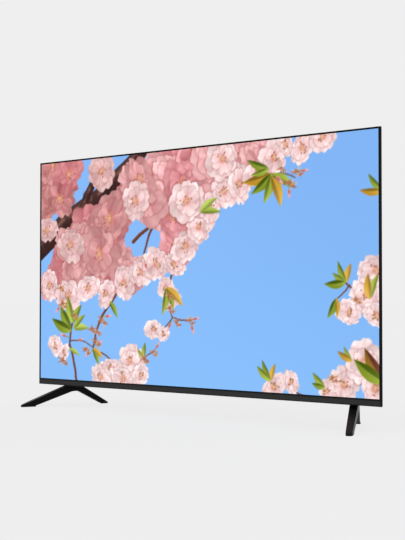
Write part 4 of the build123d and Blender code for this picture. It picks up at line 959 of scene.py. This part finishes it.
def make_lit_picture():
    """Front film of the panel, with the picture in its lit area and black round it."""
    low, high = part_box("front_polariser")
    half = lit_width * MM / 2
    bottom = lit_low * MM
    top = bottom + lit_height * MM
    inner = np.linspace(-half, half, picture_columns + 1)
    across = np.concatenate(([low.x, -half - lit_edge], inner, [half + lit_edge, high.x]))
    inner = np.linspace(bottom, top, picture_rows + 1)
    upward = np.concatenate(([low.z, bottom - lit_edge], inner, [top + lit_edge, high.z]))
    grid_x, grid_z = np.meshgrid(across, upward)
    front_y = low.y - picture_lift
    places = np.stack((grid_x, np.full_like(grid_x, front_y), grid_z), axis=-1).reshape(-1, 3)
    first = len(places)
    back_y = front_y + picture_depth
    outline = ((low.x, low.z), (high.x, low.z), (high.x, high.z), (low.x, high.z))
    places = np.concatenate((places, [(x, back_y, z) for x, z in outline]))
    # Cells of the front, then the back and the four sides, which run along the front's outermost places
    rows, wide = len(upward) - 1, len(across)
    index = np.arange(rows * wide).reshape(rows, wide)[:, :-1].reshape(-1)
    faces = np.stack((index, index + 1, index + 1 + wide, index + wide), axis=-1).tolist()
    faces.append([first + 1, first, first + 3, first + 2])
    faces.append([*range(wide - 1, -1, -1), first, first + 1])
    faces.append([*range(rows * wide, (rows + 1) * wide), first + 2, first + 3])
    faces.append([*range(0, (rows + 1) * wide, wide), first + 3, first])
    faces.append([*range((rows + 1) * wide - 1, 0, -wide), first + 1, first + 2])
    mesh = bpy.data.meshes.new("lit_picture")
    mesh.from_pydata(places.tolist(), [], faces)
    # The two outermost places on each side stay black
    colours = np.zeros((rows + 1, wide, 3))
    colours[2:-2, 2:-2] = to_linear(paint_picture())
    values = np.zeros((len(places), 4), np.float32)
    values[:, 3] = 1
    values[:first, :3] = colours.reshape(-1, 3)
    attribute = mesh.color_attributes.new("picture", "FLOAT_COLOR", "POINT")
    attribute.data.foreach_set("color", values.reshape(-1))
    mesh.update()
    add_piece("lit_picture", mesh, "picture_film", "front_polariser")


# Small forms that stand on the solids: screw heads, socket tongues and threads


def loose_boxes(node):
    """Lowest and highest corners of each separate solid of a node."""
    mesh = frame["nodes"][node].data
    places = [tuple(round(part, 5) for part in vertex.co) for vertex in mesh.vertices]
    parent = {place: place for place in places}

    def root_of(place):
        while parent[place] != place:
            place = parent[place]
        return place

    for edge in mesh.edges:
        parent[root_of(places[edge.vertices[0]])] = root_of(places[edge.vertices[1]])
    solids = {}
    for place in parent:
        solids.setdefault(root_of(place), []).append(place)
    boxes = []
    for members in solids.values():
        low = Vector(min(member[axis] for member in members) for axis in range(3))
        high = Vector(max(member[axis] for member in members) for axis in range(3))
        boxes.append((low, high))
    return sorted(boxes, key=lambda box: tuple(box[0]))


def axes_at(origin, across, upward, inward):
    """Placing of a form drawn in millimetres with its own three directions."""
    columns = [Vector(axis) * MM for axis in (across, upward, inward)]
    turn = Matrix(columns).transposed().to_4x4()
    return Matrix.Translation(origin) @ turn


def bridge(bm, rings, closed=False):
    """Faces between rings of vertices, where a ring of one vertex is a point."""
    pairs = list(zip(rings, rings[1:]))
    if closed:
        pairs.append((rings[-1], rings[0]))
    for low, high in pairs:
        count = max(len(low), len(high))
        for index in range(count):
            following = (index + 1) % count
            face = [low[index % len(low)], low[following % len(low)]]
            face += [high[following % len(high)], high[index % len(high)]]
            bm.faces.new(list(dict.fromkeys(face)))


def turned(bm, place, profile, sides=24, closed=False):
    """Turned form from (radius, depth) pairs."""
    # One step back, so that the second place faces along x, as an arm of a cross recess does
    angles = [2 * math.pi * (step - 1) / sides for step in range(sides)]
    rings = []
    for radius, depth in profile:
        around = angles if radius else [0]
        rings.append([
            bm.verts.new(place @ Vector((radius * math.cos(angle), radius * math.sin(angle), depth)))
            for angle in around
        ])
    bridge(bm, rings, closed)
    return rings


def bar_form(bm, place, width, height, start, end, cut, nose):
    """Straight bar along the depth with cut corners and a narrower nose at its start."""
    rings = []
    run = min(cut * 2, (end - start) / 4)
    for depth, share in ((start, nose * 0.86), (start + run, nose), (start + 2 * run, 1.0), (end, 1.0)):
        half_x = width / 2 * share
        half_y = height / 2 * share
        corner = min(cut, half_x / 2, half_y / 2)
        flat_x = half_x - corner
        flat_y = half_y - corner
        outline = (
            (half_x, -flat_y), (half_x, flat_y), (flat_x, half_y), (-flat_x, half_y),
            (-half_x, flat_y), (-half_x, -flat_y), (-flat_x, -half_y), (flat_x, -half_y),
        )
        rings.append([bm.verts.new(place @ Vector((x, y, depth))) for x, y in outline])
    bridge(bm, rings)
    bm.faces.new(rings[0])
    bm.faces.new(rings[-1])


def screw_form(bm, place, head_radius, head_height, shank_radius, shank_length):
    """Pan head screw with a cross recess, its seat at depth 0 and its head upwards."""
    profile = (
        (0, -shank_length), (shank_radius * 0.8, -shank_length), (shank_radius, 1 - shank_length),
        (shank_radius, 0), (head_radius, 0), (head_radius, head_height * 0.45),
        (head_radius * 0.93, head_height * 0.75), (head_radius * 0.78, head_height * 0.93),
        (head_radius * 0.6, head_height),
    )
    rim = turned(bm, place, profile)[-1]
    reach = head_radius * cross_reach
    half = head_radius * cross_half_width
    arm = [Vector(corner) for corner in ((reach, -half, 0), (reach, half, 0), (half, half, 0))]
    corners = []
    for quarter in range(4):
        turn = Matrix.Rotation(math.pi / 2 * quarter, 3, "Z")
        corners += [turn @ corner for corner in arm]
    mouth = [bm.verts.new(place @ (corner + Vector((0, 0, head_height)))) for corner in corners]
    drop = Vector((0, 0, head_height * 0.35))
    floor = [bm.verts.new(place @ (corner * 0.7 + drop)) for corner in corners]
    for index in range(len(corners)):
        following = (index + 1) % len(corners)
        bm.faces.new((rim[2 * index], rim[2 * index + 1], mouth[index]))
        bm.faces.new((rim[2 * index + 1], rim[(2 * index + 2) % len(rim)], mouth[following], mouth[index]))
    bridge(bm, [mouth, floor])
    bm.faces.new(floor)


def make_piece(name, bm, slot, stands_for=None):
    """Piece from a finished form."""
    bmesh.ops.recalc_face_normals(bm, faces=bm.faces)
    mesh = bpy.data.meshes.new(name)
    bm.to_mesh(mesh)
    bm.free()
    add_piece(name, mesh, slot, stands_for)


def make_turned_piece(name, slot, place, profile, **form):
    """Piece that is one turned form."""
    bm = bmesh.new()
    turned(bm, place, profile, **form)
    make_piece(name, bm, slot)


def make_screws(node, head, shank, axes):
    """Cross-head screws in the places of a node's plain ones."""
    bm = bmesh.new()
    axis, sign = next((index, part) for index, part in enumerate(axes[2]) if part)
    for low, high in loose_boxes(node):
        seat = (low + high) / 2
        top = high if sign > 0 else low
        seat[axis] = top[axis] - sign * head * MM
        length = (high[axis] - low[axis]) / MM - head
        screw_form(bm, axes_at(seat, *axes), (high.x - low.x) / MM / 2, head, shank, length)
    make_piece(node + "_cross_head", bm, "screw_steel", node)


def socket_places(node):
    """Placing at the mouth and depth of each socket, which looks sideways or down."""
    found = []
    for low, high in loose_boxes(node):
        size = high - low
        mouth = (low + high) / 2
        axis = 0 if size.x < size.z else 2
        mouth[axis] = low[axis]
        axes = sideways_axes if axis == 0 else downward_axes
        found.append((axes_at(mouth, *axes), size[axis] / MM))
    return found


def make_socket_bars(piece, node, slot, lean, *forms):
    """One piece with the same bars in each socket of a node."""
    bm = bmesh.new()
    turn = Matrix.Rotation(math.radians(lean), 4, "X")
    for place, depth in socket_places(node):
        for places_across, places_upward, width, height, start, end, cut, nose in forms:
            for across, upward in product(places_across, places_upward):
                spot = place @ Matrix.Translation((across, upward, 0)) @ turn
                bar_form(bm, spot, width, height, start, end if end > 0 else depth + end, cut, nose)
    make_piece(piece, bm, slot)


def make_headphone_ring():
    """Plated ring round the headphone socket's mouth."""
    place = socket_places("headphone_socket")[0][0]
    profile = ((1.85, 0.4), (1.85, -0.1), (2.05, -0.3), (2.85, -0.3), (3.05, -0.1), (3.05, 0.15))
    make_turned_piece("headphone_ring", "pin_brass", place, profile, closed=True)


def make_aerial_socket():
    """Aerial socket with its nut, threaded barrel, insulator and inner contact."""
    low, high = loose_boxes("aerial_socket")[0]
    mouth = (low + high) / 2
    mouth.z = low.z
    place = axes_at(mouth, *downward_axes)
    size = (high - low) / MM
    nut_end = aerial_reach + 3.0
    profile = [(1.6, 3.0), (aerial_bore, 3.0), (aerial_bore + 0.2, 0.2), (4.3, 0.0)]
    crest = 0.4
    while crest < aerial_reach - 1.6:
        profile += [(aerial_root, crest), (aerial_crest, crest + 0.35)]
        crest += aerial_thread_pitch
    profile += [(4.4, aerial_reach - 0.8)]
    profile += [(aerial_crest, aerial_reach), (aerial_crest, aerial_reach + 1.0), (1.6, aerial_reach + 1.0)]
    body = bmesh.new()
    turned(body, place, profile, closed=True)
    nut = [(4.7, aerial_reach), (5.7, aerial_reach), (6.5, aerial_reach + 0.4)]
    nut += [(6.5, nut_end), (4.7, nut_end)]
    turned(body, place, nut, sides=6, closed=True)
    bar_form(body, place, size.x, size.y, nut_end, size.z, 0.5, 0.98)
    make_piece("aerial_socket_threaded", body, "zinc_steel", "aerial_socket")
    profile = ((0.5, 1.3), (0.7, 1.0), (aerial_bore, 1.0), (aerial_bore, 3.6), (0.5, 3.6))
    make_turned_piece("aerial_insulator", "frame_plastic", place, profile, closed=True)
    profile = ((0, 2.4), (0.3, 2.4), (0.5, 1.9), (0.5, 4.4), (0, 4.4))
    make_turned_piece("aerial_contact", "pin_brass", place, profile, sides=12)


def make_mount_threads():
    """Thread ridges in the mouths of the four wall mount nuts."""
    root = mount_bore + 0.1
    flat = mount_bore - 0.05
    threads = bmesh.new()
    for low, high in loose_boxes("wall_mount_nuts"):
        mouth = (low + high) / 2
        mouth.y = high.y
        profile = [(root, 0.3), (flat, 0.3)]
        for turn in range(mount_thread_turns):
            profile += [(flat, turn + 0.6), (mount_bore - 0.4, turn + 1.0)]
        profile += [(flat, mount_thread_turns + 0.6), (root, mount_thread_turns + 0.6)]
        turned(threads, axes_at(mouth, *mount_axes), profile, closed=True)
    make_piece("wall_mount_threads", threads, "zinc_steel")


# Light, floor and camera


def seen_share(tree):
    """1 where a camera, glossy or transmission ray looks, and 0 elsewhere."""
    path = add_node(tree, "ShaderNodeLightPath").outputs
    seen = maths(tree, "MAXIMUM", path["Is Camera Ray"], path["Is Glossy Ray"])
    return maths(tree, "MAXIMUM", seen, path["Is Transmission Ray"])


def mix_shader(tree, share, first, second):
    """Shader node that goes from the first to the second."""
    return add_node(tree, "ShaderNodeMixShader", {0: share, 1: first.outputs[0], 2: second.outputs[0]})


def make_light():
    """Pale world that lights softly, and four wide lamps."""
    world = bpy.data.worlds.new("studio")
    bpy.context.scene.world = world
    world.use_nodes = True
    tree = world.node_tree
    tree.nodes.clear()
    pale = add_node(tree, "ShaderNodeBackground", {"Color": ground_colour, "Strength": 1.0})
    soft = add_node(tree, "ShaderNodeBackground", {"Color": (1.0, 1.0, 1.0), "Strength": sky_level})
    mix = mix_shader(tree, seen_share(tree), soft, pale)
    add_node(tree, "ShaderNodeOutputWorld", {"Surface": mix.outputs[0]})
    for name, direction, strength, size in suns:
        lamp = bpy.data.lights.new(name, "SUN")
        lamp.energy = strength
        lamp.angle = math.radians(size)
        add_object(name, lamp).rotation_euler = Vector(direction).to_track_quat("Z", "Y").to_euler()


def make_floor():
    """Plain pale floor that keeps the set's shadow and is clear when seen from below."""
    half = ground_size / 2
    mesh = bpy.data.meshes.new("floor")
    corners = [(-half, -half, 0), (half, -half, 0), (half, half, 0), (-half, half, 0)]
    mesh.from_pydata(corners, [], [(0, 1, 2, 3)])
    floor = add_object("floor", mesh)
    finish = Finish("studio_floor", specular=0.0)
    finish.feed(Base_Color=ground_colour, Roughness=1.0)
    tree = finish.tree
    plain = add_node(tree, "ShaderNodeEmission", {"Color": ground_colour})
    share = maths(tree, "MULTIPLY", seen_share(tree), ground_plain_share)
    mix = mix_shader(tree, share, finish.shader, plain)
    backfacing = add_node(tree, "ShaderNodeNewGeometry").outputs["Backfacing"]
    below = mix_shader(tree, backfacing, mix, add_node(tree, "ShaderNodeBsdfTransparent"))
    feed(tree.nodes["Material Output"].inputs["Surface"], below.outputs[0])
    mesh.materials.append(finish.material)


def make_camera():
    """Camera that shows the set as the photograph does."""
    data = bpy.data.cameras.new("camera")
    data.lens = camera_lens
    data.sensor_width = camera_sensor
    data.clip_end = 400.0
    camera = add_object("camera", data)
    forward = Vector((
        -math.sin(camera_yaw) * math.cos(camera_pitch),
        math.cos(camera_yaw) * math.cos(camera_pitch),
        math.sin(camera_pitch),
    ))
    turn = forward.to_track_quat("-Z", "Y").to_matrix().to_4x4()
    roll = Matrix.Rotation(camera_roll, 4, "Z")
    camera.matrix_world = Matrix.Translation(camera_place) @ turn @ roll
    bpy.context.scene.camera = camera


make_camera()
make_light()
make_floor()
dress_nodes()
make_lit_picture()
for row in screws:
    make_screws(*row)
for row in socket_bars:
    make_socket_bars(*row)
make_headphone_ring()
make_aerial_socket()
make_mount_threads()
for name in ("leg_left", "leg_right"):
    soften_leg(name)

bpy.context.scene.view_settings.view_transform = "Standard"
